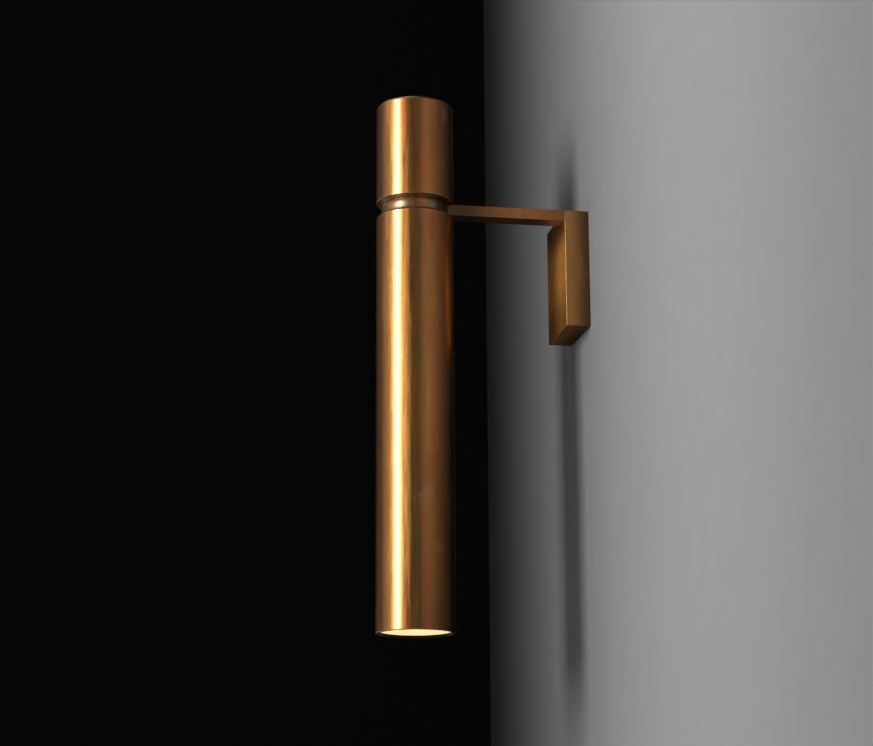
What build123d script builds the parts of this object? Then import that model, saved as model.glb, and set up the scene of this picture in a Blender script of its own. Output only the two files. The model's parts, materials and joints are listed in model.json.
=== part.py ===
from build123d import *
import os
from math import cos, radians, sin

# A wall light: a round tube stands upright in front of the wall. A flat arm carries it at a narrow
# neck near its top, and a shallow box-shaped canopy carries the arm and covers the wiring.
# Millimetres. X runs along the wall, -Y points into the room, +Z is up. The origin is the middle of
# the two wall screws, on the wall's surface.

os.makedirs("parts", exist_ok=True)

# ---------------------------------------------------------------- driving dimensions
# the two lengths of tube and how far their axis stands off the wall
tube_diameter = 60.0
tube_wall = 2.5
lower_tube_length = 322.5
upper_tube_length = 79.0
tube_edge_break = 0.4
tube_reach = 136.0

# the arm, a hollow flat bar
arm_width = 16.0
arm_height = 8.5
arm_wall = 1.5
arm_edge_radius = 0.3

# the canopy, open at the wall
canopy_width = 64.0
canopy_height = 93.0
canopy_depth = 18.5
canopy_wall = 2.0
canopy_edge_radius = 0.4

# the neck between the tubes
collar_diameter = 52.0
collar_height = 9.0
collar_edge_radius = 2.0
collar_boss_overhang = 1.0
gap_below_collar = 1.5
gap_above_collar = 1.0
spindle_diameter = 24.0
spindle_bore = 18.0
spindle_flange_diameter = 29.0
spindle_flange_thickness = 1.5
spindle_thread_overhang = 3.0
spindle_end_chamfer = 0.6
spindle_window_margin = 0.5
end_plate_thickness = 6.0
bearing_washer_diameter = 35.0
spacer_diameter = 38.0
spring_washer_diameter = 33.0
spring_washer_thickness = 0.8
neck_nut_across_flats = 32.0
neck_nut_thickness = 6.0

# the swivel stop
swivel_half_range = 150.0
stop_pin_diameter = 3.0
stop_pin_circle_radius = 21.5
stop_pin_seat_depth = 4.25
stop_groove_depth = 3.2
stop_pin_tip_gap = 0.45

# how the arm is fixed at both ends: two prongs in its hollow, each held by a screw from above
prong_length = 14.0
prong_screw_diameter = 2.5
prong_screw_head_diameter = 4.4
prong_screw_length = 5.6
prong_screw_run_out = 0.2
anchor_foot_width = 13.6
anchor_foot_height = 32.0
anchor_foot_thickness = 3.0
anchor_stud_diameter = 3.0
anchor_stud_spacing = 14.0
anchor_stud_overhang = 0.6
anchor_nut_across_flats = 5.5
anchor_nut_thickness = 2.2

# the plate on the wall
plate_thickness = 1.5
plate_side_gap = 0.1
plate_end_gap = 0.5
plate_flange_depth = 10.5
plate_flange_height = 66.0
wall_screw_spacing = 60.0
wall_slot_width = 4.5
wall_slot_length = 9.0
cable_entry_diameter = 12.0
cable_entry_x = -15.0
cable_entry_z = -24.0
grommet_bore = 8.0
grommet_lip = 1.6
grommet_lip_thickness = 1.2
grommet_edge_radius = 0.5
canopy_screw_diameter = 3.0
canopy_screw_head_diameter = 5.4
canopy_screw_length = 4.0
canopy_screw_spacing = 50.0
canopy_screw_wall_distance = 6.0
locating_pin_diameter = 3.0
locating_pin_head_diameter = 4.8
locating_pin_head_thickness = 1.0
locating_pin_reach = 1.2
locating_socket_depth = 1.4

# wiring in the canopy
driver_width = 31.5
driver_height = 54.0
driver_thickness = 11.0
driver_edge_radius = 1.2
driver_back_edge_radius = 0.7
driver_side_gap = 0.8
driver_end_gap = 2.5
driver_tape_thickness = 0.8
driver_tape_margin = 4.0
terminal_pole_count = 3
terminal_pole_pitch = 8.5
terminal_block_length = 16.0
terminal_block_depth = 12.5
terminal_block_end = 1.0
terminal_block_side_gap = 4.0
terminal_block_foot_gap = 4.5
terminal_block_corner_radius = 1.0
terminal_sleeve_diameter = 4.6
terminal_sleeve_bore = 3.0
terminal_sleeve_inset = 1.0
terminal_screw_diameter = 2.6
terminal_screw_inset = 4.0
terminal_screw_well = 2.2
terminal_screw_slot_width = 0.5
terminal_screw_slot_depth = 0.4
terminal_fixing_diameter = 2.2
terminal_fixing_head_diameter = 3.6
terminal_fixing_head_thickness = 1.2
wire_diameter = 2.2
wire_bend_radius = 3.8
wire_depth = 8.0
live_wire_x = -2.0
neutral_wire_x = -9.0
wire_terminal_insertion = 4.0
earth_screw_x = -21.0
earth_screw_diameter = 4.0
earth_screw_head_diameter = 7.0
earth_screw_head_thickness = 2.4
earth_lug_diameter = 8.0
earth_lug_thickness = 0.8
earth_lug_barrel_diameter = 3.4
earth_lug_barrel_length = 6.0
earth_lug_neck_length = 0.5
earth_lug_neck_width = 2.7
earth_wire_straight = 6.0
earth_wire_rise_end = 3.5

# the low-voltage lead to the lamp
lead_diameter = 4.0
lead_hole_diameter = 4.6
lead_neck_bend_radius = 12.0
lead_canopy_bend_radius = 7.0
lead_canopy_straight = 2.0
lead_driver_drop = 13.0
lead_gland_height = 6.0
lead_gland_flange = 1.5
lead_gland_flange_diameter = 22.0
lead_overhang = 2.0
lead_slack_shares = (0.16, 0.38, 0.64, 0.88)
lead_slack_back = 6.0
lead_slack_front = 5.0
lead_slack_bend_radius = 60.0
lead_sink_bend_radius = 40.0

# the lamp at the tube's lower end, and the caps pushed into the tubes' open ends
cup_recess = 2.0
cup_face_thickness = 2.5
cup_skirt_depth = 10.0
cup_skirt_wall = 2.6
cup_ring_groove_depth = 1.3
cup_ring_offset = 7.0
reflector_height = 23.0
reflector_wall = 1.2
reflector_mouth_diameter = 49.0
reflector_throat_gap = 1.0
reflector_foot_diameter = 25.0
reflector_foot_thickness = 1.2
board_diameter = 42.0
board_thickness = 1.6
board_screw_circle_radius = 16.5
board_screw_diameter = 3.0
board_screw_head_diameter = 5.2
board_screw_head_thickness = 1.8
board_screw_length = 5.5
board_screw_run_out = 0.5
led_square = 13.5
led_base_thickness = 0.8
led_disc_diameter = 11.0
led_disc_thickness = 0.4
heat_sink_base_thickness = 6.0
heat_sink_fin_height = 48.0
heat_sink_fin_thickness = 1.6
heat_sink_fin_count = 12
heat_sink_core_diameter = 16.0
heat_sink_edge_gap = 0.3
heat_sink_fin_gap = 1.2
heat_sink_lead_circle_radius = 15.0
snap_ring_wire_diameter = 1.6
snap_ring_opening_angle = 26.0

# the shapes of the screws' heads
hex_socket_share = 0.36
head_slot_share = 0.25
head_slot_overrun = 1.2
pan_head_taper = 12.0
pin_head_taper = 20.0
countersink_angle = 90.0

# clearances, all radial or per side
running_clearance = 0.05
seat_clearance = 0.05
thread_clearance = 0.02
cup_clearance = 0.2
lead_clearance = 0.05

# ---------------------------------------------------------------- places worked out from them
tube_radius = tube_diameter / 2
bore_radius = tube_radius - tube_wall
collar_radius = collar_diameter / 2
spindle_radius = spindle_diameter / 2
lead_radius = lead_diameter / 2
wire_radius = wire_diameter / 2
pin_radius = stop_pin_diameter / 2

# the arm lies flush with the canopy's top and with the side that the lamp is seen from
arm_x = canopy_width / 2 - arm_width / 2
arm_z = canopy_height / 2 - arm_height / 2
tube_x = arm_x
tube_y = -tube_reach
tube_axis = Axis((tube_x, tube_y, 0), (0, 0, 1))

# heights in the neck, from the bottom up
collar_bottom = arm_z - collar_height / 2
collar_top = arm_z + collar_height / 2
lower_tube_top = collar_bottom - gap_below_collar
lower_tube_bottom = lower_tube_top - lower_tube_length
upper_tube_bottom = collar_top + gap_above_collar
upper_tube_top = upper_tube_bottom + upper_tube_length
lower_plate_bottom = lower_tube_top - end_plate_thickness
upper_plate_top = upper_tube_bottom + end_plate_thickness
lower_nut_top = lower_plate_bottom - spring_washer_thickness
upper_nut_bottom = upper_plate_top + spring_washer_thickness
spindle_bottom = lower_nut_top - neck_nut_thickness - spindle_thread_overhang
spindle_top = upper_nut_bottom + neck_nut_thickness + spindle_thread_overhang

# the arm between the collar's boss and the canopy's front
boss_end = collar_radius + collar_boss_overhang
arm_start_y = tube_y + boss_end
arm_end_y = -canopy_depth
arm_length = arm_end_y - arm_start_y
arm_bore_width = arm_width - 2 * arm_wall
arm_bore_height = arm_height - 2 * arm_wall

# the canopy's inside and the plate in it
inside_width = canopy_width - 2 * canopy_wall
inside_height = canopy_height - 2 * canopy_wall
inside_depth = canopy_depth - canopy_wall
inside_top = inside_height / 2
inside_right = inside_width / 2
plate_width = inside_width - 2 * plate_side_gap
plate_height = inside_height - 2 * plate_end_gap
flange_x = plate_width / 2 - plate_thickness

# the prongs lie each side of the lead; in the canopy they also clear its top and its side wall
prong_inner = lead_hole_diameter / 2
collar_prong_outer = arm_bore_width / 2 - seat_clearance
collar_prong_x = (prong_inner + collar_prong_outer) / 2
collar_prong_height = arm_bore_height - 2 * seat_clearance
anchor_prong_outer = min(collar_prong_outer, inside_right - seat_clearance - arm_x)
anchor_prong_top = min(arm_z + arm_bore_height / 2, inside_top) - seat_clearance
anchor_prong_bottom = arm_z - arm_bore_height / 2 + seat_clearance
anchor_slot_bottom = arm_z - arm_bore_height / 2
anchor_stud_top = anchor_slot_bottom - anchor_stud_spacing / 2

# the driver lies on the canopy's front wall, at its far side and top
driver_x = -inside_width / 2 + plate_side_gap + plate_thickness + driver_side_gap + driver_width / 2
driver_z = inside_top - driver_end_gap - driver_height / 2
driver_front_y = -inside_depth + driver_tape_thickness
driver_right = driver_x + driver_width / 2
driver_bottom = driver_z - driver_height / 2

# the terminal block stands on the wall plate, below the driver and beside it
block_width = terminal_pole_count * terminal_pole_pitch + 2 * terminal_block_end
block_x = flange_x - terminal_block_side_gap - terminal_block_length / 2
block_z = -inside_height / 2 + terminal_block_foot_gap + block_width / 2
block_left = block_x - terminal_block_length / 2
block_right = block_x + terminal_block_length / 2
pole_heights = [
    block_z + (index - (terminal_pole_count - 1) / 2) * terminal_pole_pitch
    for index in range(terminal_pole_count)
]
earth_pole_z, neutral_pole_z, live_pole_z = pole_heights
fixing_heights = [(low + high) / 2 for low, high in zip(pole_heights, pole_heights[1:])]

# heights of the lamp, from the tube's lower end up
diffuser_face = lower_tube_bottom + cup_recess
reflector_bottom = diffuser_face + cup_face_thickness + cup_skirt_depth
board_bottom = reflector_bottom + reflector_height
board_top = board_bottom + board_thickness
sink_base_top = board_top + heat_sink_base_thickness
sink_top = sink_base_top + heat_sink_fin_height
snap_ring_radius = snap_ring_wire_diameter / 2
snap_ring_heights = [board_top - snap_ring_radius, sink_base_top + snap_ring_radius]
lead_joint_z = spindle_bottom - lead_gland_flange - lead_overhang
half_fin_angle = 180 / heat_sink_fin_count
sink_lead_x = tube_x + heat_sink_lead_circle_radius * cos(radians(half_fin_angle))
sink_lead_y = tube_y + heat_sink_lead_circle_radius * sin(radians(half_fin_angle))


# ---------------------------------------------------------------- shapes that are used again
def tube_plane(height):
    """A level plane centred on the tube's axis."""
    return Plane(origin=(tube_x, tube_y, height))


def upright_plane(angle):
    """A plane through the tube's axis: its x points away from the axis at this angle, its y is +Z."""
    away = (cos(radians(angle)), sin(radians(angle)), 0)
    return Plane(origin=(tube_x, tube_y, 0), x_dir=away, z_dir=(away[1], -away[0], 0))


def room_plane(distance):
    """A plane parallel to the wall, this far into the room, facing the room; its y is +Z."""
    return Plane.XZ.offset(distance)


def outer_rims(tube):
    """The two circles that bound a tube's outer surface."""
    circles = tube.edges().filter_by(GeomType.CIRCLE)
    return circles.filter_by(lambda edge: edge.radius > tube_radius - tube_wall / 2)


def flat_ring(outer_radius, inner_radius, bottom, thickness):
    """A flat ring about the tube's axis."""
    with BuildPart() as ring:
        with BuildSketch(tube_plane(bottom)):
            Circle(outer_radius)
            Circle(inner_radius, mode=Mode.SUBTRACT)
        extrude(amount=thickness)
    return ring


def hex_nut(across_flats, bore, thickness, planes):
    """A hexagon nut with its lower face on each plane."""
    with BuildPart() as nut:
        for plane in planes:
            with BuildSketch(plane):
                RegularPolygon(across_flats / 2, 6, major_radius=False)
                Circle(bore / 2 + thread_clearance, mode=Mode.SUBTRACT)
            extrude(amount=thickness)
    return nut


def countersunk_screws(diameter, head_diameter, length, planes):
    """Screws whose flat heads lie in each plane and whose shanks run below it."""
    socket_radius = diameter * hex_socket_share
    with BuildPart() as screws:
        for plane in planes:
            with BuildSketch(plane):
                Circle(head_diameter / 2)
            extrude(amount=-(head_diameter - diameter) / 2, taper=countersink_angle / 2)
            with BuildSketch(plane):
                Circle(diameter / 2)
            extrude(amount=-length)
            with BuildSketch(plane):
                RegularPolygon(socket_radius, 6)
            extrude(amount=-diameter / 2, mode=Mode.SUBTRACT)
    return screws


def pan_head_screws(diameter, head_diameter, head_thickness, length, planes):
    """Screws whose heads stand on each plane and whose shanks run below it."""
    slot_width = diameter * head_slot_share
    with BuildPart() as screws:
        for plane in planes:
            with BuildSketch(plane):
                Circle(head_diameter / 2)
            extrude(amount=head_thickness, taper=pan_head_taper)
            with BuildSketch(plane):
                Circle(diameter / 2)
            extrude(amount=-length)
            with BuildSketch(plane.offset(head_thickness)):
                Rectangle(head_diameter * head_slot_overrun, slot_width)
            extrude(amount=-head_thickness / 2, mode=Mode.SUBTRACT)
    return screws


def round_wire(points, bend_radii, diameter):
    """A round wire along straight runs joined by arcs, one radius for each corner."""
    with BuildPart() as wire:
        with BuildLine() as route:
            FilletPolyline(*points, radius=bend_radii)
        with BuildSketch(Plane(origin=route.line @ 0, z_dir=route.line % 0)):
            Circle(diameter / 2)
        sweep(path=route.line)
    return wire


def push_in_cup(face_height, inward):
    """A round cup pushed into a tube's end: a flat face, a skirt, and a groove for a soft ring.

    inward is +1 for a cup that goes up into the tube and -1 for one that goes down into it.
    """
    outer = bore_radius - cup_clearance
    total = cup_face_thickness + cup_skirt_depth
    with BuildPart() as cup:
        with BuildSketch(tube_plane(face_height)):
            Circle(outer)
        extrude(amount=inward * total)
        with BuildSketch(tube_plane(face_height + inward * cup_face_thickness)):
            Circle(outer - cup_skirt_wall)
        extrude(amount=inward * cup_skirt_depth, mode=Mode.SUBTRACT)
        ring_radius = (cup_ring_groove_depth + cup_clearance) / 2
        with BuildSketch(tube_plane(face_height + inward * cup_ring_offset)):
            Circle(outer)
            Circle(outer - cup_ring_groove_depth, mode=Mode.SUBTRACT)
        extrude(amount=ring_radius, both=True, mode=Mode.SUBTRACT)
    return cup


def cup_ring(face_height, inward):
    """The soft ring in a cup's groove, as thick as the way from the groove's floor to the tube."""
    ring_radius = (cup_ring_groove_depth + cup_clearance) / 2
    ring_height = face_height + inward * cup_ring_offset
    return wire_ring(bore_radius - ring_radius, ring_radius, [ring_height], 360)


def wire_ring(centre_radius, wire_radius, heights, arc):
    """Rings of round wire about the tube's axis, open by 360 degrees less the arc."""
    with BuildPart() as ring:
        for height in heights:
            with BuildSketch(upright_plane(0)):
                with Locations((centre_radius, height)):
                    Circle(wire_radius)
            revolve(axis=tube_axis, revolution_arc=arc)
    return ring


# ---------------------------------------------------------------- planes of the fasteners
arm_top_z = arm_z + arm_height / 2
prong_screw_x = (prong_inner + anchor_prong_outer) / 2
prong_screw_hole_depth = prong_screw_length + prong_screw_run_out
front_screw_y = arm_start_y + prong_length / 2
rear_screw_y = arm_end_y - prong_length / 2
prong_screw_columns = (arm_x - prong_screw_x, arm_x + prong_screw_x)
front_screw_planes = [Plane(origin=(x, front_screw_y, arm_top_z)) for x in prong_screw_columns]
rear_screw_planes = [Plane(origin=(x, rear_screw_y, arm_top_z)) for x in prong_screw_columns]
canopy_screw_planes = [
    Plane(
        origin=(-canopy_width / 2, -canopy_screw_wall_distance, side * canopy_screw_spacing / 2),
        x_dir=(0, 1, 0),
        z_dir=(-1, 0, 0),
    )
    for side in (-1, 1)
]
locating_pin_planes = [
    Plane(
        origin=(flange_x, -canopy_screw_wall_distance, side * canopy_screw_spacing / 2),
        x_dir=(0, 1, 0),
        z_dir=(1, 0, 0),
    )
    for side in (-1, 1)
]
anchor_stud_places = [(arm_x, anchor_stud_top - index * anchor_stud_spacing) for index in range(2)]
anchor_nut_planes = [
    Plane(origin=(x, -inside_depth + anchor_foot_thickness, z), x_dir=(1, 0, 0), z_dir=(0, 1, 0))
    for x, z in anchor_stud_places
]
board_screw_planes = [
    Plane(origin=(tube_x, tube_y + side * board_screw_circle_radius, board_bottom), z_dir=(0, 0, -1))
    for side in (-1, 1)
]

# ---------------------------------------------------------------- canopy
with BuildPart() as wall_canopy:
    with BuildSketch(room_plane(0)):
        Rectangle(canopy_width, canopy_height)
    extrude(amount=canopy_depth)
    away_from_wall = wall_canopy.edges().filter_by(lambda edge: edge.center().Y < -canopy_edge_radius)
    fillet(away_from_wall, radius=canopy_edge_radius)
    with BuildSketch(room_plane(0)):
        Rectangle(inside_width, inside_height)
    extrude(amount=inside_depth, mode=Mode.SUBTRACT)
    # the window that the anchor's prongs and the lead pass through
    window_left = arm_x - arm_bore_width / 2
    window_right = min(arm_x + arm_bore_width / 2, inside_right)
    window_bottom = anchor_slot_bottom
    window_top = min(arm_z + arm_bore_height / 2, inside_top)
    with BuildSketch(room_plane(inside_depth)):
        with Locations(((window_left + window_right) / 2, (window_bottom + window_top) / 2)):
            Rectangle(window_right - window_left, window_top - window_bottom)
    extrude(amount=canopy_wall, mode=Mode.SUBTRACT)
    # studs on the inside of the front wall, for the anchor's foot
    stud_length = anchor_foot_thickness + anchor_nut_thickness + anchor_stud_overhang
    with BuildSketch(room_plane(inside_depth)):
        with Locations(*anchor_stud_places):
            Circle(anchor_stud_diameter / 2)
    extrude(amount=-stud_length)
    # blind sockets for the locating pins in one side wall, countersunk holes in the other
    for plane in locating_pin_planes:
        with BuildSketch(plane.offset(inside_right - flange_x)):
            Circle(locating_pin_diameter / 2 + seat_clearance)
        extrude(amount=locating_socket_depth, mode=Mode.SUBTRACT)
    with Locations(*canopy_screw_planes):
        CounterSinkHole(
            radius=canopy_screw_diameter / 2 + seat_clearance,
            counter_sink_radius=canopy_screw_head_diameter / 2 + seat_clearance,
            depth=canopy_wall,
            counter_sink_angle=countersink_angle,
        )

wall_canopy.part.label = "wall_canopy"
export_step(wall_canopy.part, "parts/wall_canopy.step")

with BuildPart() as arm_anchor:
    # the foot lies on the inside of the canopy's front wall
    foot_right = min(arm_x + anchor_foot_width / 2, inside_right - seat_clearance)
    foot_left = arm_x - anchor_foot_width / 2
    with BuildSketch(room_plane(inside_depth)):
        with Locations(((foot_left + foot_right) / 2, anchor_prong_top - anchor_foot_height / 2)):
            Rectangle(foot_right - foot_left, anchor_foot_height)
        with Locations(*anchor_stud_places):
            Circle(anchor_stud_diameter / 2 + seat_clearance, mode=Mode.SUBTRACT)
    extrude(amount=-anchor_foot_thickness)
    # the prongs run through the window and into the arm
    prong_width = anchor_prong_outer - prong_inner
    prong_middle = (anchor_prong_outer + prong_inner) / 2
    prong_z = (anchor_prong_top + anchor_prong_bottom) / 2
    with BuildSketch(room_plane(inside_depth)):
        with Locations((arm_x - prong_middle, prong_z), (arm_x + prong_middle, prong_z)):
            Rectangle(prong_width, anchor_prong_top - anchor_prong_bottom)
    extrude(amount=canopy_wall + prong_length)
    # the slot for the lead, open at the top
    with BuildSketch(room_plane(inside_depth)):
        with Locations((arm_x, (anchor_slot_bottom + anchor_prong_top) / 2)):
            Rectangle(2 * prong_inner, anchor_prong_top - anchor_slot_bottom)
    extrude(amount=-anchor_foot_thickness, mode=Mode.SUBTRACT)
    # tapped holes for the screws from above
    with Locations(*rear_screw_planes):
        Hole(radius=prong_screw_diameter / 2 + thread_clearance, depth=prong_screw_hole_depth)

arm_anchor.part.label = "arm_anchor"
export_step(arm_anchor.part, "parts/arm_anchor.step")

anchor_nuts = hex_nut(anchor_nut_across_flats, anchor_stud_diameter, anchor_nut_thickness, anchor_nut_planes)
anchor_nuts.part.label = "anchor_nuts"
export_step(anchor_nuts.part, "parts/anchor_nuts.step")

# ---------------------------------------------------------------- wall plate
with BuildPart() as mounting_plate:
    with BuildSketch(room_plane(0)):
        Rectangle(plate_width, plate_height)
        with Locations((0, -wall_screw_spacing / 2), (0, wall_screw_spacing / 2)):
            SlotOverall(wall_slot_length, wall_slot_width, rotation=90, mode=Mode.SUBTRACT)
        with Locations((cable_entry_x, cable_entry_z)):
            Circle(cable_entry_diameter / 2, mode=Mode.SUBTRACT)
        with Locations((earth_screw_x, earth_pole_z)):
            Circle(earth_screw_diameter / 2 + thread_clearance, mode=Mode.SUBTRACT)
        with Locations(*[(block_x, height) for height in fixing_heights]):
            Circle(terminal_fixing_diameter / 2 + thread_clearance, mode=Mode.SUBTRACT)
    extrude(amount=plate_thickness)
    # flanges along both sides, bent forward
    with BuildSketch(room_plane(plate_thickness)):
        with Locations((-flange_x - plate_thickness / 2, 0), (flange_x + plate_thickness / 2, 0)):
            Rectangle(plate_thickness, plate_flange_height)
    extrude(amount=plate_flange_depth - plate_thickness)
    for plane in canopy_screw_planes:
        with BuildSketch(plane):
            Circle(canopy_screw_diameter / 2 + thread_clearance)
        extrude(amount=-(canopy_width / 2 - flange_x), mode=Mode.SUBTRACT)
    for plane in locating_pin_planes:
        with BuildSketch(plane):
            Circle(locating_pin_diameter / 2 + thread_clearance)
        extrude(amount=plate_thickness, mode=Mode.SUBTRACT)

mounting_plate.part.label = "mounting_plate"
export_step(mounting_plate.part, "parts/mounting_plate.step")

with BuildPart() as locating_pins:
    for plane in locating_pin_planes:
        with BuildSketch(plane):
            Circle(locating_pin_head_diameter / 2)
        extrude(amount=-locating_pin_head_thickness, taper=pin_head_taper)
        with BuildSketch(plane):
            Circle(locating_pin_diameter / 2)
        extrude(amount=plate_thickness + plate_side_gap + locating_pin_reach)

locating_pins.part.label = "locating_pins"
export_step(locating_pins.part, "parts/locating_pins.step")

canopy_screws = countersunk_screws(
    canopy_screw_diameter, canopy_screw_head_diameter, canopy_screw_length, canopy_screw_planes
)
canopy_screws.part.label = "canopy_screws"
export_step(canopy_screws.part, "parts/canopy_screws.step")

with BuildPart() as cable_grommet:
    # a rubber ring with a lip on the room's side of the plate; the wall closes its other side
    with BuildSketch(room_plane(0)):
        with Locations((cable_entry_x, cable_entry_z)):
            Circle(cable_entry_diameter / 2 - thread_clearance)
    extrude(amount=plate_thickness)
    with BuildSketch(room_plane(plate_thickness)):
        with Locations((cable_entry_x, cable_entry_z)):
            Circle(cable_entry_diameter / 2 + grommet_lip)
    extrude(amount=grommet_lip_thickness)
    with BuildSketch(room_plane(0)):
        with Locations((cable_entry_x, cable_entry_z)):
            Circle(grommet_bore / 2)
    extrude(amount=plate_thickness + grommet_lip_thickness, mode=Mode.SUBTRACT)
    fillet(cable_grommet.edges().group_by(Axis.Y)[0].sort_by(SortBy.RADIUS)[-1], radius=grommet_edge_radius)

cable_grommet.part.label = "cable_grommet"
export_step(cable_grommet.part, "parts/cable_grommet.step")

# ---------------------------------------------------------------- wiring in the canopy
with BuildPart() as led_driver:
    with BuildSketch(room_plane(-driver_front_y)):
        with Locations((driver_x, driver_z)):
            RectangleRounded(driver_width, driver_height, driver_edge_radius)
    extrude(amount=-driver_thickness)
    fillet(led_driver.edges().group_by(Axis.Y)[-1], radius=driver_back_edge_radius)

led_driver.part.label = "led_driver"
export_step(led_driver.part, "parts/led_driver.step")

with BuildPart() as driver_tape:
    with BuildSketch(room_plane(inside_depth)):
        with Locations((driver_x, driver_z)):
            Rectangle(driver_width - 2 * driver_tape_margin, driver_height - 2 * driver_tape_margin)
    extrude(amount=-driver_tape_thickness)

driver_tape.part.label = "driver_tape"
export_step(driver_tape.part, "parts/driver_tape.step")

screw_columns = [block_left + terminal_screw_inset, block_right - terminal_screw_inset]
with BuildPart() as terminal_block:
    with BuildSketch(room_plane(plate_thickness)):
        with Locations((block_x, block_z)):
            RectangleRounded(terminal_block_length, block_width, terminal_block_corner_radius)
    extrude(amount=terminal_block_depth)
    # the sleeves' bores, a well over each screw, and the two fixing holes
    for height in pole_heights:
        with BuildSketch(Plane(origin=(block_left, -wire_depth, height), z_dir=(1, 0, 0))):
            Circle(terminal_sleeve_diameter / 2 + thread_clearance)
        extrude(amount=terminal_block_length, mode=Mode.SUBTRACT)
    with BuildSketch(room_plane(plate_thickness + terminal_block_depth)):
        with Locations(*[(x, z) for x in screw_columns for z in pole_heights]):
            Circle(terminal_screw_diameter / 2 + seat_clearance)
    extrude(amount=-(plate_thickness + terminal_block_depth - wire_depth), mode=Mode.SUBTRACT)
    with BuildSketch(room_plane(plate_thickness)):
        with Locations(*[(block_x, height) for height in fixing_heights]):
            Circle(terminal_fixing_diameter / 2 + thread_clearance)
    extrude(amount=terminal_block_depth, mode=Mode.SUBTRACT)

terminal_block.part.label = "terminal_block"
export_step(terminal_block.part, "parts/terminal_block.step")

sleeve_left = block_left + terminal_sleeve_inset
sleeve_length = terminal_block_length - 2 * terminal_sleeve_inset
with BuildPart() as terminal_sleeves:
    for height in pole_heights:
        with BuildSketch(Plane(origin=(sleeve_left, -wire_depth, height), z_dir=(1, 0, 0))):
            Circle(terminal_sleeve_diameter / 2)
            Circle(terminal_sleeve_bore / 2, mode=Mode.SUBTRACT)
        extrude(amount=sleeve_length)

terminal_sleeves.part.label = "terminal_sleeves"
export_step(terminal_sleeves.part, "parts/terminal_sleeves.step")

# each clamping screw stands on its sleeve and ends below the block's face
terminal_screw_foot = wire_depth + terminal_sleeve_diameter / 2
terminal_screw_length = plate_thickness + terminal_block_depth - terminal_screw_well - terminal_screw_foot
with BuildPart() as terminal_screws:
    for x in screw_columns:
        for height in pole_heights:
            with BuildSketch(room_plane(terminal_screw_foot)):
                with Locations((x, height)):
                    Circle(terminal_screw_diameter / 2)
            extrude(amount=terminal_screw_length)
            with BuildSketch(room_plane(terminal_screw_foot + terminal_screw_length)):
                with Locations((x, height)):
                    Rectangle(terminal_screw_diameter * head_slot_overrun, terminal_screw_slot_width)
            extrude(amount=-terminal_screw_slot_depth, mode=Mode.SUBTRACT)

terminal_screws.part.label = "terminal_screws"
export_step(terminal_screws.part, "parts/terminal_screws.step")

terminal_fixings = pan_head_screws(
    terminal_fixing_diameter,
    terminal_fixing_head_diameter,
    terminal_fixing_head_thickness,
    terminal_block_depth + plate_thickness,
    [
        Plane(origin=(block_x, -plate_thickness - terminal_block_depth, z), x_dir=(1, 0, 0), z_dir=(0, -1, 0))
        for z in fixing_heights
    ],
)
terminal_fixings.part.label = "terminal_fixings"
export_step(terminal_fixings.part, "parts/terminal_fixings.step")

with BuildPart() as driver_wires:
    # live and neutral, from the driver's lower end into the two upper poles
    for wire_x, pole_z in ((live_wire_x, live_pole_z), (neutral_wire_x, neutral_pole_z)):
        with BuildLine() as route:
            FilletPolyline(
                (wire_x, -wire_depth, driver_bottom),
                (wire_x, -wire_depth, pole_z),
                (block_left + wire_terminal_insertion, -wire_depth, pole_z),
                radius=wire_bend_radius,
            )
        with BuildSketch(Plane(origin=route.line @ 0, z_dir=route.line % 0)):
            Circle(wire_radius)
        sweep(path=route.line)

driver_wires.part.label = "driver_wires"
export_step(driver_wires.part, "parts/driver_wires.step")

lug_front = plate_thickness + earth_lug_thickness
barrel_start = earth_screw_x + earth_lug_diameter / 2 + earth_lug_neck_length
barrel_end = barrel_start + earth_lug_barrel_length
barrel_depth = plate_thickness + earth_lug_barrel_diameter / 2
neck_length = earth_lug_diameter / 2 - earth_screw_diameter / 2 + earth_lug_neck_length
with BuildPart() as earth_lug:
    with BuildSketch(room_plane(plate_thickness)):
        with Locations((earth_screw_x, earth_pole_z)):
            Circle(earth_lug_diameter / 2)
        with Locations((barrel_start - neck_length / 2, earth_pole_z)):
            Rectangle(neck_length, earth_lug_neck_width)
        with Locations((earth_screw_x, earth_pole_z)):
            Circle(earth_screw_diameter / 2 + seat_clearance, mode=Mode.SUBTRACT)
    extrude(amount=earth_lug_thickness)
    with BuildSketch(Plane(origin=(barrel_start, -barrel_depth, earth_pole_z), z_dir=(1, 0, 0))):
        Circle(earth_lug_barrel_diameter / 2)
    extrude(amount=earth_lug_barrel_length)
    with BuildSketch(Plane(origin=(barrel_end, -barrel_depth, earth_pole_z), z_dir=(1, 0, 0))):
        Circle(wire_radius + lead_clearance)
    extrude(amount=-earth_lug_barrel_length / 2, mode=Mode.SUBTRACT)

earth_lug.part.label = "earth_lug"
export_step(earth_lug.part, "parts/earth_lug.step")

earth_screw = pan_head_screws(
    earth_screw_diameter,
    earth_screw_head_diameter,
    earth_screw_head_thickness,
    lug_front,
    [Plane(origin=(earth_screw_x, -lug_front, earth_pole_z), x_dir=(1, 0, 0), z_dir=(0, -1, 0))],
)
earth_screw.part.label = "earth_screw"
export_step(earth_screw.part, "parts/earth_screw.step")

# from the lug along the plate, then up to the height of the poles
earth_wire_start = barrel_end - earth_lug_barrel_length / 2
earth_wire = round_wire(
    [
        (earth_wire_start, -barrel_depth, earth_pole_z),
        (earth_wire_start + earth_wire_straight, -barrel_depth, earth_pole_z),
        (block_left - earth_wire_rise_end, -wire_depth, earth_pole_z),
        (block_left + wire_terminal_insertion, -wire_depth, earth_pole_z),
    ],
    [wire_bend_radius * 2, wire_bend_radius * 2],
    wire_diameter,
)
earth_wire.part.label = "earth_wire"
export_step(earth_wire.part, "parts/earth_wire.step")

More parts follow.
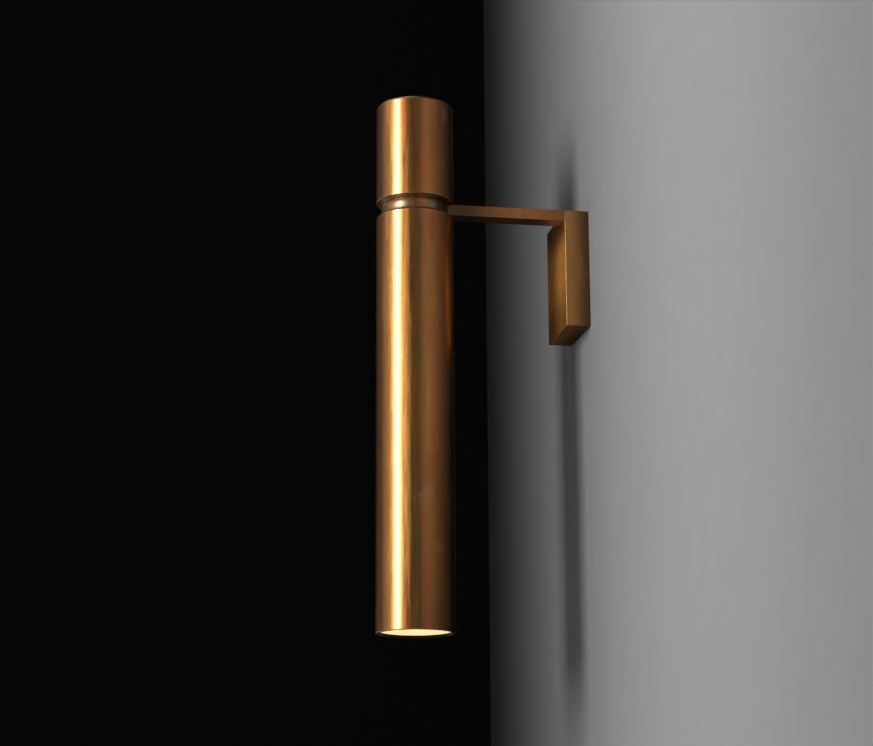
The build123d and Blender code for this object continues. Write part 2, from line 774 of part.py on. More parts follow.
# ---------------------------------------------------------------- arm
with BuildPart() as arm_bar:
    with BuildSketch(room_plane(canopy_depth)):
        with Locations((arm_x, arm_z)):
            Rectangle(arm_width, arm_height)
    extrude(amount=arm_length)
    fillet(arm_bar.edges().filter_by(Axis.Y), radius=arm_edge_radius)
    with BuildSketch(room_plane(canopy_depth)):
        with Locations((arm_x, arm_z)):
            Rectangle(arm_bore_width, arm_bore_height)
    extrude(amount=arm_length, mode=Mode.SUBTRACT)
    with Locations(*front_screw_planes, *rear_screw_planes):
        CounterSinkHole(
            radius=prong_screw_diameter / 2 + seat_clearance,
            counter_sink_radius=prong_screw_head_diameter / 2 + seat_clearance,
            depth=arm_wall,
            counter_sink_angle=countersink_angle,
        )

arm_bar.part.label = "arm_bar"
export_step(arm_bar.part, "parts/arm_bar.step")

arm_front_screws = countersunk_screws(
    prong_screw_diameter, prong_screw_head_diameter, prong_screw_length, front_screw_planes
)
arm_front_screws.part.label = "arm_front_screws"
export_step(arm_front_screws.part, "parts/arm_front_screws.step")

arm_rear_screws = countersunk_screws(
    prong_screw_diameter, prong_screw_head_diameter, prong_screw_length, rear_screw_planes
)
arm_rear_screws.part.label = "arm_rear_screws"
export_step(arm_rear_screws.part, "parts/arm_rear_screws.step")

# ---------------------------------------------------------------- neck
with BuildPart() as neck_collar:
    with BuildSketch(tube_plane(collar_bottom)):
        Circle(collar_radius)
    extrude(amount=collar_height)
    fillet(neck_collar.edges().filter_by(GeomType.CIRCLE), radius=collar_edge_radius)
    # the boss that the arm butts against, and the prongs that go into the arm
    with BuildSketch(room_plane(-arm_start_y)):
        with Locations((arm_x, arm_z)):
            Rectangle(arm_width, arm_height)
    extrude(amount=collar_radius / 2)
    with BuildSketch(room_plane(-arm_start_y)):
        with Locations((arm_x - collar_prong_x, arm_z), (arm_x + collar_prong_x, arm_z)):
            Rectangle(collar_prong_outer - prong_inner, collar_prong_height)
    extrude(amount=-prong_length)
    # the bore, the seat of the spindle's flange, and the lead's way in from the arm
    with BuildSketch(tube_plane(collar_bottom)):
        Circle(spindle_radius + thread_clearance)
    extrude(amount=collar_height, mode=Mode.SUBTRACT)
    with BuildSketch(tube_plane(collar_bottom)):
        Circle(spindle_flange_diameter / 2 + thread_clearance)
    extrude(amount=spindle_flange_thickness, mode=Mode.SUBTRACT)
    with BuildSketch(room_plane(-arm_start_y)):
        with Locations((arm_x, arm_z)):
            Circle(lead_hole_diameter / 2)
    extrude(amount=boss_end, mode=Mode.SUBTRACT)
    # the hole of the stop pin, and tapped holes for the screws from above
    with BuildSketch(tube_plane(collar_bottom)):
        with Locations((0, -stop_pin_circle_radius)):
            Circle(pin_radius + thread_clearance)
    extrude(amount=stop_pin_seat_depth, mode=Mode.SUBTRACT)
    with Locations(*front_screw_planes):
        Hole(radius=prong_screw_diameter / 2 + thread_clearance, depth=prong_screw_hole_depth)

neck_collar.part.label = "neck_collar"
export_step(neck_collar.part, "parts/neck_collar.step")

with BuildPart() as hollow_spindle:
    with BuildSketch(tube_plane(spindle_bottom)):
        Circle(spindle_radius)
    extrude(amount=spindle_top - spindle_bottom)
    with BuildSketch(tube_plane(collar_bottom)):
        Circle(spindle_flange_diameter / 2)
    extrude(amount=spindle_flange_thickness)
    end_rims = hollow_spindle.edges().group_by(Axis.Z)[0] + hollow_spindle.edges().group_by(Axis.Z)[-1]
    chamfer(end_rims, length=spindle_end_chamfer)
    with BuildSketch(tube_plane(spindle_bottom)):
        Circle(spindle_bore / 2)
    extrude(amount=spindle_top - spindle_bottom, mode=Mode.SUBTRACT)
    # the window that the lead comes in by, facing the arm
    with BuildSketch(room_plane(-tube_y)):
        with Locations((tube_x, arm_z)):
            Rectangle(lead_hole_diameter + 2 * spindle_window_margin, arm_bore_height)
    extrude(amount=-spindle_radius, mode=Mode.SUBTRACT)

hollow_spindle.part.label = "hollow_spindle"
export_step(hollow_spindle.part, "parts/hollow_spindle.step")

with BuildPart() as stop_pin:
    with BuildSketch(tube_plane(lower_tube_top - stop_groove_depth + stop_pin_tip_gap)):
        with Locations((0, -stop_pin_circle_radius)):
            Circle(pin_radius)
    extrude(amount=stop_groove_depth - stop_pin_tip_gap + gap_below_collar + stop_pin_seat_depth)

stop_pin.part.label = "stop_pin"
export_step(stop_pin.part, "parts/stop_pin.step")

bearing_washer = flat_ring(
    bearing_washer_diameter / 2, spindle_radius + running_clearance, lower_tube_top, gap_below_collar
)
bearing_washer.part.label = "bearing_washer"
export_step(bearing_washer.part, "parts/bearing_washer.step")

neck_spacer = flat_ring(spacer_diameter / 2, spindle_radius + seat_clearance, collar_top, gap_above_collar)
neck_spacer.part.label = "neck_spacer"
export_step(neck_spacer.part, "parts/neck_spacer.step")

lower_spring_washer = flat_ring(
    spring_washer_diameter / 2, spindle_radius + seat_clearance, lower_nut_top, spring_washer_thickness
)
lower_spring_washer.part.label = "lower_spring_washer"
export_step(lower_spring_washer.part, "parts/lower_spring_washer.step")

upper_spring_washer = flat_ring(
    spring_washer_diameter / 2, spindle_radius + seat_clearance, upper_plate_top, spring_washer_thickness
)
upper_spring_washer.part.label = "upper_spring_washer"
export_step(upper_spring_washer.part, "parts/upper_spring_washer.step")

lower_nut_planes = [tube_plane(lower_nut_top - neck_nut_thickness)]
lower_nut = hex_nut(neck_nut_across_flats, spindle_diameter, neck_nut_thickness, lower_nut_planes)
lower_nut.part.label = "lower_nut"
export_step(lower_nut.part, "parts/lower_nut.step")

upper_nut_planes = [tube_plane(upper_nut_bottom)]
upper_nut = hex_nut(neck_nut_across_flats, spindle_diameter, neck_nut_thickness, upper_nut_planes)
upper_nut.part.label = "upper_nut"
export_step(upper_nut.part, "parts/upper_nut.step")

with BuildPart() as lead_gland:
    with BuildSketch(tube_plane(spindle_bottom)):
        Circle(spindle_bore / 2 - seat_clearance)
    extrude(amount=lead_gland_height)
    with BuildSketch(tube_plane(spindle_bottom)):
        Circle(lead_gland_flange_diameter / 2)
    extrude(amount=-lead_gland_flange)
    with BuildSketch(tube_plane(spindle_bottom - lead_gland_flange)):
        Circle(lead_radius + lead_clearance)
    extrude(amount=lead_gland_flange + lead_gland_height, mode=Mode.SUBTRACT)

lead_gland.part.label = "lead_gland"
export_step(lead_gland.part, "parts/lead_gland.step")

# ---------------------------------------------------------------- upper tube
with BuildPart() as upper_tube:
    with BuildSketch(tube_plane(upper_tube_bottom)):
        Circle(tube_radius)
        Circle(bore_radius, mode=Mode.SUBTRACT)
    extrude(amount=upper_tube_length)
    chamfer(outer_rims(upper_tube), length=tube_edge_break)

upper_tube.part.label = "upper_tube"
export_step(upper_tube.part, "parts/upper_tube.step")

upper_end_plate = flat_ring(
    bore_radius - seat_clearance, spindle_radius + seat_clearance, upper_tube_bottom, end_plate_thickness
)
upper_end_plate.part.label = "upper_end_plate"
export_step(upper_end_plate.part, "parts/upper_end_plate.step")

top_cap = push_in_cup(upper_tube_top - cup_recess, -1)
top_cap.part.label = "top_cap"
export_step(top_cap.part, "parts/top_cap.step")

top_cap_ring = cup_ring(upper_tube_top - cup_recess, -1)
top_cap_ring.part.label = "top_cap_ring"
export_step(top_cap_ring.part, "parts/top_cap_ring.step")

# ---------------------------------------------------------------- lower tube, which turns
with BuildPart() as lower_tube:
    with BuildSketch(tube_plane(lower_tube_bottom)):
        Circle(tube_radius)
        Circle(bore_radius, mode=Mode.SUBTRACT)
    extrude(amount=lower_tube_length)
    chamfer(outer_rims(lower_tube), length=tube_edge_break)
    # grooves in the bore for the two snap rings
    for height in snap_ring_heights:
        with BuildSketch(upright_plane(0)):
            with Locations((bore_radius, height)):
                Circle(snap_ring_radius + seat_clearance)
        revolve(axis=tube_axis, mode=Mode.SUBTRACT)

lower_tube.part.label = "lower_tube"
export_step(lower_tube.part, "parts/lower_tube.step")

with BuildPart() as lower_end_plate:
    with BuildSketch(tube_plane(lower_plate_bottom)):
        Circle(bore_radius - seat_clearance)
        Circle(spindle_radius + running_clearance, mode=Mode.SUBTRACT)
    extrude(amount=end_plate_thickness)
    # the arc-shaped groove that the stop pin runs in, round-ended, open at the top
    groove_width = stop_pin_diameter + 4 * seat_clearance
    groove_start = -90 - swivel_half_range
    groove_middle = lower_tube_top - stop_groove_depth / 2
    with BuildSketch(upright_plane(groove_start)):
        with Locations((stop_pin_circle_radius, groove_middle)):
            Rectangle(groove_width, stop_groove_depth)
    revolve(axis=tube_axis, revolution_arc=2 * swivel_half_range, mode=Mode.SUBTRACT)
    with BuildSketch(tube_plane(lower_tube_top)):
        with PolarLocations(stop_pin_circle_radius, 2, groove_start, 2 * swivel_half_range, endpoint=True):
            Circle(groove_width / 2)
    extrude(amount=-stop_groove_depth, mode=Mode.SUBTRACT)

lower_end_plate.part.label = "lower_end_plate"
export_step(lower_end_plate.part, "parts/lower_end_plate.step")

# ---------------------------------------------------------------- lamp
with BuildPart() as heat_sink:
    with BuildSketch(tube_plane(board_top)):
        Circle(bore_radius - heat_sink_edge_gap)
    extrude(amount=heat_sink_base_thickness)
    with BuildSketch(tube_plane(sink_base_top)):
        Circle(heat_sink_core_diameter / 2)
        fin_length = bore_radius - heat_sink_fin_gap
        with PolarLocations(fin_length / 2, heat_sink_fin_count):
            Rectangle(fin_length, heat_sink_fin_thickness)
    extrude(amount=heat_sink_fin_height)
    with BuildSketch(Plane(origin=(sink_lead_x, sink_lead_y, board_top))):
        Circle(lead_hole_diameter / 2)
    extrude(amount=heat_sink_base_thickness, mode=Mode.SUBTRACT)
    for plane in board_screw_planes:
        with BuildSketch(plane):
            Circle(board_screw_diameter / 2 + thread_clearance)
        extrude(amount=-(board_thickness + board_screw_length), mode=Mode.SUBTRACT)

heat_sink.part.label = "heat_sink"
export_step(heat_sink.part, "parts/heat_sink.step")

with BuildPart() as led_board:
    with BuildSketch(tube_plane(board_bottom)):
        Circle(board_diameter / 2)
        with Locations((0, -board_screw_circle_radius), (0, board_screw_circle_radius)):
            Circle(board_screw_diameter / 2 + seat_clearance, mode=Mode.SUBTRACT)
    extrude(amount=board_thickness)

led_board.part.label = "led_board"
export_step(led_board.part, "parts/led_board.step")

board_screws = pan_head_screws(
    board_screw_diameter,
    board_screw_head_diameter,
    board_screw_head_thickness,
    board_thickness + board_screw_length - board_screw_run_out,
    board_screw_planes,
)
board_screws.part.label = "board_screws"
export_step(board_screws.part, "parts/board_screws.step")

with BuildPart() as led_array:
    with BuildSketch(tube_plane(board_bottom)):
        Rectangle(led_square, led_square)
    extrude(amount=-led_base_thickness)
    with BuildSketch(tube_plane(board_bottom - led_base_thickness)):
        Circle(led_disc_diameter / 2)
    extrude(amount=-led_disc_thickness)

led_array.part.label = "led_array"
export_step(led_array.part, "parts/led_array.step")

with BuildPart() as reflector:
    # a cone that opens downwards, with a rim on the diffuser's skirt and a foot against the board
    throat = led_square / 2 ** 0.5 + reflector_throat_gap
    mouth = reflector_mouth_diameter / 2
    rim = bore_radius - cup_clearance
    with BuildSketch(upright_plane(0)):
        with BuildLine():
            Polyline(
                (mouth, reflector_bottom),
                (rim, reflector_bottom),
                (rim, reflector_bottom + reflector_wall),
                (mouth + reflector_wall, reflector_bottom + reflector_wall),
                (throat + reflector_wall, board_bottom - reflector_foot_thickness),
                (reflector_foot_diameter / 2, board_bottom - reflector_foot_thickness),
                (reflector_foot_diameter / 2, board_bottom),
                (throat, board_bottom),
                close=True,
            )
        make_face()
    revolve(axis=tube_axis)

reflector.part.label = "reflector"
export_step(reflector.part, "parts/reflector.step")

diffuser = push_in_cup(diffuser_face, 1)
diffuser.part.label = "diffuser"
export_step(diffuser.part, "parts/diffuser.step")

diffuser_ring = cup_ring(diffuser_face, 1)
diffuser_ring.part.label = "diffuser_ring"
export_step(diffuser_ring.part, "parts/diffuser_ring.step")

snap_rings = wire_ring(bore_radius, snap_ring_radius, snap_ring_heights, 360 - snap_ring_opening_angle)
snap_rings.part.label = "snap_rings"
export_step(snap_rings.part, "parts/snap_rings.step")

# ---------------------------------------------------------------- the low-voltage lead
canopy_turn_y = -inside_depth + lead_canopy_straight + lead_canopy_bend_radius
lead_turn_z = arm_z - lead_canopy_bend_radius - lead_driver_drop
arm_lead = round_wire(
    [
        (driver_right, canopy_turn_y, lead_turn_z),
        (arm_x, canopy_turn_y, lead_turn_z),
        (arm_x, canopy_turn_y, arm_z),
        (arm_x, tube_y, arm_z),
        (arm_x, tube_y, lead_joint_z),
    ],
    [lead_canopy_bend_radius, lead_canopy_bend_radius, lead_neck_bend_radius],
    lead_diameter,
)
arm_lead.part.label = "arm_lead"
export_step(arm_lead.part, "parts/arm_lead.step")

# inside the lower tube the lead hangs with a little slack and goes down between two fins
lead_span = lead_joint_z - sink_top
slack_heights = [lead_joint_z - share * lead_span for share in lead_slack_shares]
tube_lead = round_wire(
    [
        (tube_x, tube_y, lead_joint_z),
        (tube_x, tube_y, slack_heights[0]),
        (tube_x - lead_slack_back, tube_y - lead_slack_front, slack_heights[1]),
        (tube_x + lead_slack_front, tube_y + lead_slack_front, slack_heights[2]),
        (sink_lead_x, sink_lead_y, slack_heights[3]),
        (sink_lead_x, sink_lead_y, board_top),
    ],
    [lead_slack_bend_radius, lead_slack_bend_radius, lead_slack_bend_radius, lead_sink_bend_radius],
    lead_diameter,
)
tube_lead.part.label = "tube_lead"
export_step(tube_lead.part, "parts/tube_lead.step")
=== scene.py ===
"""A tube wall light in burnished brass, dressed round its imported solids.

The light is a round tube that stands upright in front of the wall, in two lengths with a narrow
neck between them. A flat arm joins the neck to a shallow canopy on the wall. The lamp shines from
the lower end. Metres throughout: +X along the wall, -Y into the room, +Z up.
"""

import json
import logging
import math
from dataclasses import dataclass
from enum import Enum

import bpy
import numpy as np
from mathutils import Matrix, Vector


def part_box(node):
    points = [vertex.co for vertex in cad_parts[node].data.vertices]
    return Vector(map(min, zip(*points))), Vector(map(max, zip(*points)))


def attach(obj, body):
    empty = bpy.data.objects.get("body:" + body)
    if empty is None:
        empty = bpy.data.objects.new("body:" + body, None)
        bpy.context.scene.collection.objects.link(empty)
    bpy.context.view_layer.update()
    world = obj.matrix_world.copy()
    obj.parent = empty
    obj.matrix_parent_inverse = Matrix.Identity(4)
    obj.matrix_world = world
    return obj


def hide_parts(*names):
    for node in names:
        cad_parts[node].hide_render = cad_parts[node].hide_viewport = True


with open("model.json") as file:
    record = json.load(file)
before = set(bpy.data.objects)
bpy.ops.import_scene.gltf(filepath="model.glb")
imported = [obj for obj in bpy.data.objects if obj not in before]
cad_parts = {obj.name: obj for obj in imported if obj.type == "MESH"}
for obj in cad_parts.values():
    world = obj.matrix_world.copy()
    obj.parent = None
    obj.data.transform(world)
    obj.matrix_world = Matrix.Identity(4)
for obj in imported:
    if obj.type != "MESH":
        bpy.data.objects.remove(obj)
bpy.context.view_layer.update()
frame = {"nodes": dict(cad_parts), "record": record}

MILLIMETRE = 0.001
LEAST_LENGTH = 1e-12
LEAST_ANGLE = 1e-6
LEAST_STEP = 1e-7
SHARP_ANGLE = math.radians(35.0)
SNAP_RING_RADIUS = 0.8 * MILLIMETRE
BUMP_DISTANCE = 0.4 * MILLIMETRE

# What a pattern's coordinates are multiplied by: a small last number draws it out upright.
EVEN = (1.0, 1.0, 1.0)
UPRIGHT = (1.0, 1.0, 0.03)
THREADS = (1.0, 1.0, 0.045)
LEVEL = (1.0, 1.0, 0.0)

Array = np.ndarray
Socket = bpy.types.NodeSocket
Node = bpy.types.Node
Tree = bpy.types.NodeTree
Colour = tuple[float, float, float]
Triple = tuple[float, float, float]
# Two values of what is followed, and what is given at them where that isn't 0 and 1.
Span = tuple[float, ...]

log = logging.getLogger("wall_light")


# ------------------------------------------------------------------ surfaces
def unit(vectors: Array) -> Array:
    """Vectors scaled to length one, and left alone where they have none."""
    length = np.linalg.norm(vectors, axis=-1, keepdims=True)
    return vectors / np.where(length > LEAST_LENGTH, length, 1.0)


def traced_line(corners: Array, radii: Array, closed: bool, arc_steps: int, run_steps: int) -> Array:
    """A line through corners, with an arc at each corner and divided runs between the arcs.

    With h half the inside angle at a corner P, an arc of radius R touches both sides at R / tan h
    from P and has its centre on the bisector at R / sin h. Points on it are the spherical blend of
    its two radii. A run is divided at s = sin(pi t / 2) squared, so its rows crowd near the arcs.

    Args:
        corners: The corners in order, one row of two numbers each.
        radii: The arc's radius at each corner, 0 for a sharp one.
        closed: Whether the last corner joins the first.
        arc_steps: Pieces in each arc.
        run_steps: Pieces in each run.

    Returns:
        The points in order, without doubles.
    """
    ahead = np.roll(corners, -1, axis=0)
    behind = np.roll(corners, 1, axis=0)
    if not closed:
        behind[0] = 2 * corners[0] - corners[1]
        ahead[-1] = 2 * corners[-1] - corners[-2]
    to_behind, to_ahead = unit(behind - corners), unit(ahead - corners)
    half = np.arccos(np.clip((to_behind * to_ahead).sum(1), -1.0, 1.0)) / 2
    bend = np.maximum(half, LEAST_ANGLE)
    cut = (radii / np.tan(bend))[:, None]
    centre = corners + unit(to_behind + to_ahead) * (radii / np.sin(bend))[:, None]
    start, end = corners + to_behind * cut, corners + to_ahead * cut
    sweep = np.maximum(np.pi - 2 * half, LEAST_ANGLE)[:, None, None]
    t = np.linspace(0.0, 1.0, arc_steps + 1)[None, :, None]
    arcs = np.sin((1 - t) * sweep) * (start - centre)[:, None]
    arcs = arcs + np.sin(t * sweep) * (end - centre)[:, None]
    arcs = arcs / np.sin(sweep) + centre[:, None]
    s = np.sin(np.pi * np.linspace(0.0, 1.0, run_steps + 1)[1:-1] / 2) ** 2
    runs = end[:, None] + s[None, :, None] * (np.roll(start, -1, axis=0) - end)[:, None]
    line = np.concatenate([arcs, runs], axis=1).reshape(-1, corners.shape[1])
    if not closed:
        line = line[: len(line) - (run_steps - 1)]
    step = np.linalg.norm(line - np.roll(line, 1, axis=0), axis=1)
    step[0] = step[0] if closed else 1.0
    return line[step > LEAST_STEP]


def turned_rows(section: Array, centre: Vector, segments: int) -> Array:
    """A section turned about an upright axis: x = cx + r cos a, y = cy + r sin a, z = z.

    Args:
        section: Points as (r, z).
        centre: A point on the axis.
        segments: Steps round the axis.

    Returns:
        An array of rows, one for each point of the section, with one point for each step.
    """
    angle = np.linspace(0.0, 2 * np.pi, segments, endpoint=False)[None, :]
    radius, height = section[:, :1], section[:, 1:]
    x = centre.x + radius * np.cos(angle)
    y = centre.y + radius * np.sin(angle)
    return np.stack([x, y, height + 0 * angle], axis=-1)


def carried_rows(section: Array, stations: Array) -> Array:
    """A section in x and z carried along y: each row is the section at one station.

    Args:
        section: Points as (x, z).
        stations: The values of y.

    Returns:
        An array of rows, one for each station.
    """
    x = section[None, :, 0] + 0 * stations[:, None]
    z = section[None, :, 1] + 0 * stations[:, None]
    return np.stack([x, stations[:, None] + 0 * x, z], axis=-1)


class Ends(Enum):
    """How the first and last rows of a surface are closed."""

    JOINED = "joined"
    POLES = "poles"
    FLAT = "flat"


def surface(name: str, rows: Array, ends: Ends, masks: dict[str, Array] | None = None) -> bpy.types.Object:
    """A closed mesh from rows of points that each run right round.

    Faces are i, i + 1 by j, j + 1 on the grid of rows. The sign of the volume, the sum of
    a . (b x c) / 6 over its triangles, says whether they have to be turned to point outwards.

    Args:
        name: The piece's name.
        rows: Points as (row, place in the row, coordinate).
        ends: How the first and last rows are closed.
        masks: Values from 0 to 1 for each point, kept as attributes of these names.

    Returns:
        The new object, at the origin.
    """
    count, around = rows.shape[:2]
    index = np.arange(count * around).reshape(count, around)
    upper = np.roll(index, -1, axis=0) if ends is Ends.JOINED else index[1:]
    lower = index if ends is Ends.JOINED else index[:-1]
    quads = np.stack([lower, np.roll(lower, -1, 1), np.roll(upper, -1, 1), upper], -1).reshape(-1, 4)
    vertices = rows.reshape(-1, 3)
    faces = quads.tolist()
    if ends is Ends.POLES:
        vertices = np.concatenate([vertices, rows[:1].mean(1), rows[-1:].mean(1)])
        first, last = np.full(around, count * around), np.full(around, count * around + 1)
        faces += np.stack([np.roll(index[0], -1), index[0], first], -1).tolist()
        faces += np.stack([index[-1], np.roll(index[-1], -1), last], -1).tolist()
    if ends is Ends.FLAT:
        faces += [index[0][::-1].tolist(), index[-1].tolist()]
    a, b, c, d = (vertices[quads[:, k]] - vertices.mean(0) for k in range(4))
    volume = (a * np.cross(b, c)).sum() + (a * np.cross(c, d)).sum()
    if volume < 0:
        faces = [face[::-1] for face in faces]
    mesh = bpy.data.meshes.new(name)
    mesh.from_pydata(vertices.tolist(), [], faces)
    mesh.shade_smooth()
    mesh.set_sharp_from_angle(angle=SHARP_ANGLE)
    for mask, values in (masks or {}).items():
        attribute = mesh.attributes.new(mask, "FLOAT", "POINT")
        attribute.data.foreach_set("value", values.astype(np.float32).ravel())
    mesh.update()
    piece = bpy.data.objects.new(name, mesh)
    bpy.context.scene.collection.objects.link(piece)
    return piece


# ------------------------------------------------------------------ shader graphs
class Graph:
    """Adds nodes to one node tree and joins them."""

    def __init__(self, tree: Tree) -> None:
        """Takes the tree that the nodes go into."""
        self.tree = tree

    def node(self, kind: str, inputs: dict | None = None, **settings: object) -> Node:
        """Adds a node.

        Args:
            kind: The node's type, without the word ShaderNode.
            inputs: For each input's name or place, a socket to join or a value to set.
            settings: The node's own settings.

        Returns:
            The node.
        """
        node = self.tree.nodes.new("ShaderNode" + kind)
        for key, value in settings.items():
            setattr(node, key, value)
        for key, value in (inputs or {}).items():
            if isinstance(value, Socket):
                self.tree.links.new(value, node.inputs[key])
            else:
                node.inputs[key].default_value = value
        return node

    def math(self, operation: str, first: object, second: object = 0.0) -> Socket:
        """The result of a sum on two values."""
        return self.node("Math", {0: first, 1: second}, operation=operation).outputs[0]

    def vector(self, operation: str, first: object, second: object) -> Socket:
        """The result of a sum on two vectors."""
        return self.node("VectorMath", {0: first, 1: second}, operation=operation).outputs["Vector"]

    def spread(self, value: object, low: object, high: object, start: object = 0.0,
               end: object = 1.0) -> Socket:
        """A value carried smoothly from low and high to start and end, and no further."""
        inputs = {"Value": value, "From Min": low, "From Max": high, "To Min": start, "To Max": end}
        return self.node("MapRange", inputs, interpolation_type="SMOOTHSTEP").outputs["Result"]

    def mix(self, share: object, first: object, second: object) -> Socket:
        """Two colours mixed, by the share of the second."""
        return self.node("Mix", {0: share, 6: first, 7: second}, data_type="RGBA").outputs[2]

    def noise(self, vector: object, scale: object, detail: float = 4.0, roughness: float = 0.55,
              distortion: float = 0.0) -> Socket:
        """A noise between 0 and 1.

        Args:
            vector: The coordinates it lies on.
            scale: How many of its waves go to a metre.
            detail: How many finer waves it adds.
            roughness: How strong those are.
            distortion: How far it is stirred.

        Returns:
            The noise.
        """
        inputs = {"Vector": vector, "Scale": scale, "Detail": detail, "Roughness": roughness,
                  "Distortion": distortion}
        return self.node("TexNoise", inputs).outputs[0]

    def length(self, vector: object) -> Socket:
        """A vector's length."""
        return self.node("VectorMath", {0: vector}, operation="LENGTH").outputs["Value"]

    def off_axis(self, place: object, centre: object) -> Socket:
        """How far a place is from the upright axis through a centre."""
        return self.length(self.vector("MULTIPLY", self.vector("SUBTRACT", place, centre), LEVEL))

    def group(self, tree: Tree, inputs: dict) -> Socket:
        """What a group gives for its inputs."""
        return self.node("Group", inputs, node_tree=tree).outputs[0]


def rgba(colour: Colour) -> tuple[float, float, float, float]:
    """A colour with full cover."""
    return (*colour, 1.0)


@dataclass(frozen=True)
class Plug:
    """One socket of a node group."""

    name: str
    kind: str
    value: object = None


class Effects:
    """The node groups that several finishes share, each built once, with one output each."""

    FINE_STEP: float = 4.3
    FINE_LEVELS: Span = (0.52, 0.78)
    MARK_SCALE: float = 260.0
    MARK_STIR: Span = (0.25, 0.75, -0.45, 0.45)
    MARK_EDGE: Span = (0.45, 1.0, 1.0, 0.0)
    RUB_SCALE: float = 420.0
    RUB_LEVELS: Span = (0.35, 0.6)
    RING_STIR_SCALE: float = 90.0
    RING_STIR: float = 0.35 * MILLIMETRE

    def __init__(self) -> None:
        """Builds the groups."""
        self.tones = self._tones()
        self.grain = self._grain()
        self.mark = self._mark()
        self.wear = self._wear()
        self.rings = self._rings()

    @staticmethod
    def _start(name: str, takes: list[Plug], gives: Plug) -> tuple[Graph, bpy.types.NodeOutputs, Socket]:
        """An empty group with its sockets.

        Args:
            name: The group's name.
            takes: Its inputs beyond the place.
            gives: Its output.

        Returns:
            Its graph, its inputs by name and the socket that takes its result.
        """
        tree = bpy.data.node_groups.new(name, "ShaderNodeTree")
        for plug in [Plug("Vector", "Vector"), *takes]:
            kind = "NodeSocket" + plug.kind
            socket = tree.interface.new_socket(plug.name, in_out="INPUT", socket_type=kind)
            if plug.value is not None:
                socket.default_value = plug.value
        tree.interface.new_socket(gives.name, in_out="OUTPUT", socket_type="NodeSocket" + gives.kind)
        source, sink = tree.nodes.new("NodeGroupInput"), tree.nodes.new("NodeGroupOutput")
        return Graph(tree), source.outputs, sink.inputs[gives.name]

    def _tones(self) -> Tree:
        """Three colours in clouds: a coarse noise picks dark or middle, a finer one adds the light.

        Returns:
            The group.
        """
        takes = [Plug(name, "Color") for name in ("Dark", "Middle", "Light")]
        takes += [Plug("Scale", "Float", 30.0), Plug("Stretch", "Vector", EVEN),
                  Plug("Contrast", "Float", 0.2)]
        graph, given, result = self._start("tones", takes, Plug("Color", "Color"))
        place = graph.vector("MULTIPLY", given["Vector"], given["Stretch"])
        coarse = graph.noise(place, given["Scale"], detail=5.0, roughness=0.6, distortion=0.4)
        fine_scale = graph.math("MULTIPLY", given["Scale"], self.FINE_STEP)
        fine = graph.noise(place, fine_scale, roughness=0.65, distortion=0.2)
        low, high = (graph.math(side, 0.5, given["Contrast"]) for side in ("SUBTRACT", "ADD"))
        first = graph.spread(coarse, low, high)
        second = graph.spread(fine, *self.FINE_LEVELS)
        colour = graph.mix(first, given["Dark"], given["Middle"])
        colour = graph.mix(graph.math("MULTIPLY", second, first), colour, given["Light"])
        graph.tree.links.new(colour, result)
        return graph.tree

    def _grain(self) -> Tree:
        """Fine grain as a height, drawn out along an axis by the stretch.

        Returns:
            The group.
        """
        takes = [Plug("Scale", "Float", 600.0), Plug("Stretch", "Vector", EVEN)]
        graph, given, result = self._start("grain", takes, Plug("Height", "Float"))
        place = graph.vector("MULTIPLY", given["Vector"], given["Stretch"])
        graph.tree.links.new(graph.noise(place, given["Scale"], detail=3.0, roughness=0.7), result)
        return graph.tree

    def _mark(self) -> Tree:
        """One soft, ragged mark: the scaled distance from its centre, stirred by noise and cut off.

        Returns:
            The group.
        """
        takes = [Plug("Centre", "Vector"), Plug("Size", "Vector", (0.01, 0.01, 0.01))]
        graph, given, result = self._start("mark", takes, Plug("Mask", "Float"))
        offset = graph.vector("SUBTRACT", given["Vector"], given["Centre"])
        reach = graph.length(graph.vector("DIVIDE", offset, given["Size"]))
        noise = graph.noise(given["Vector"], self.MARK_SCALE, roughness=0.65)
        ragged = graph.math("ADD", reach, graph.spread(noise, *self.MARK_STIR))
        graph.tree.links.new(graph.spread(ragged, *self.MARK_EDGE), result)
        return graph.tree

    def _wear(self) -> Tree:
        """Bright wear on the edges: the piece's own edge attribute, broken up by noise.

        Returns:
            The group.
        """
        graph, given, result = self._start("wear", [Plug("Amount", "Float", 0.6)], Plug("Mask", "Float"))
        edge = graph.node("Attribute", attribute_name="edge").outputs["Fac"]
        noise = graph.noise(given["Vector"], self.RUB_SCALE, detail=5.0, roughness=0.7)
        rub = graph.spread(noise, *self.RUB_LEVELS)
        worn = graph.math("MULTIPLY", graph.math("MULTIPLY", edge, rub), given["Amount"])
        graph.tree.links.new(worn, result)
        return graph.tree

    def _rings(self) -> Tree:
        """Turning rings round an upright axis: a wave of the distance from the centre, slightly stirred.

        Returns:
            The group.
        """
        takes = [Plug("Centre", "Vector"), Plug("Pitch", "Float", 1.0)]
        graph, given, result = self._start("rings", takes, Plug("Height", "Float"))
        reach = graph.off_axis(given["Vector"], given["Centre"])
        noise = graph.noise(given["Vector"], self.RING_STIR_SCALE, detail=3.0)
        stir = graph.math("MULTIPLY", noise, self.RING_STIR)
        turns = graph.math("MULTIPLY", graph.math("ADD", reach, stir), given["Pitch"])
        graph.tree.links.new(graph.spread(graph.math("SINE", turns), -1.0, 1.0), result)
        return graph.tree


class Pattern(Enum):
    """What a finish shows beyond its clouds of colour and its grain."""

    PLAIN = "plain"
    PATINA_AND_SHADE = "patina"
    TURNED = "turned"
    EARTH_STRIPE = "earth stripe"
    COPPER_PADS = "copper pads"
    PHOSPHOR = "phosphor"
    OPAL = "opal"


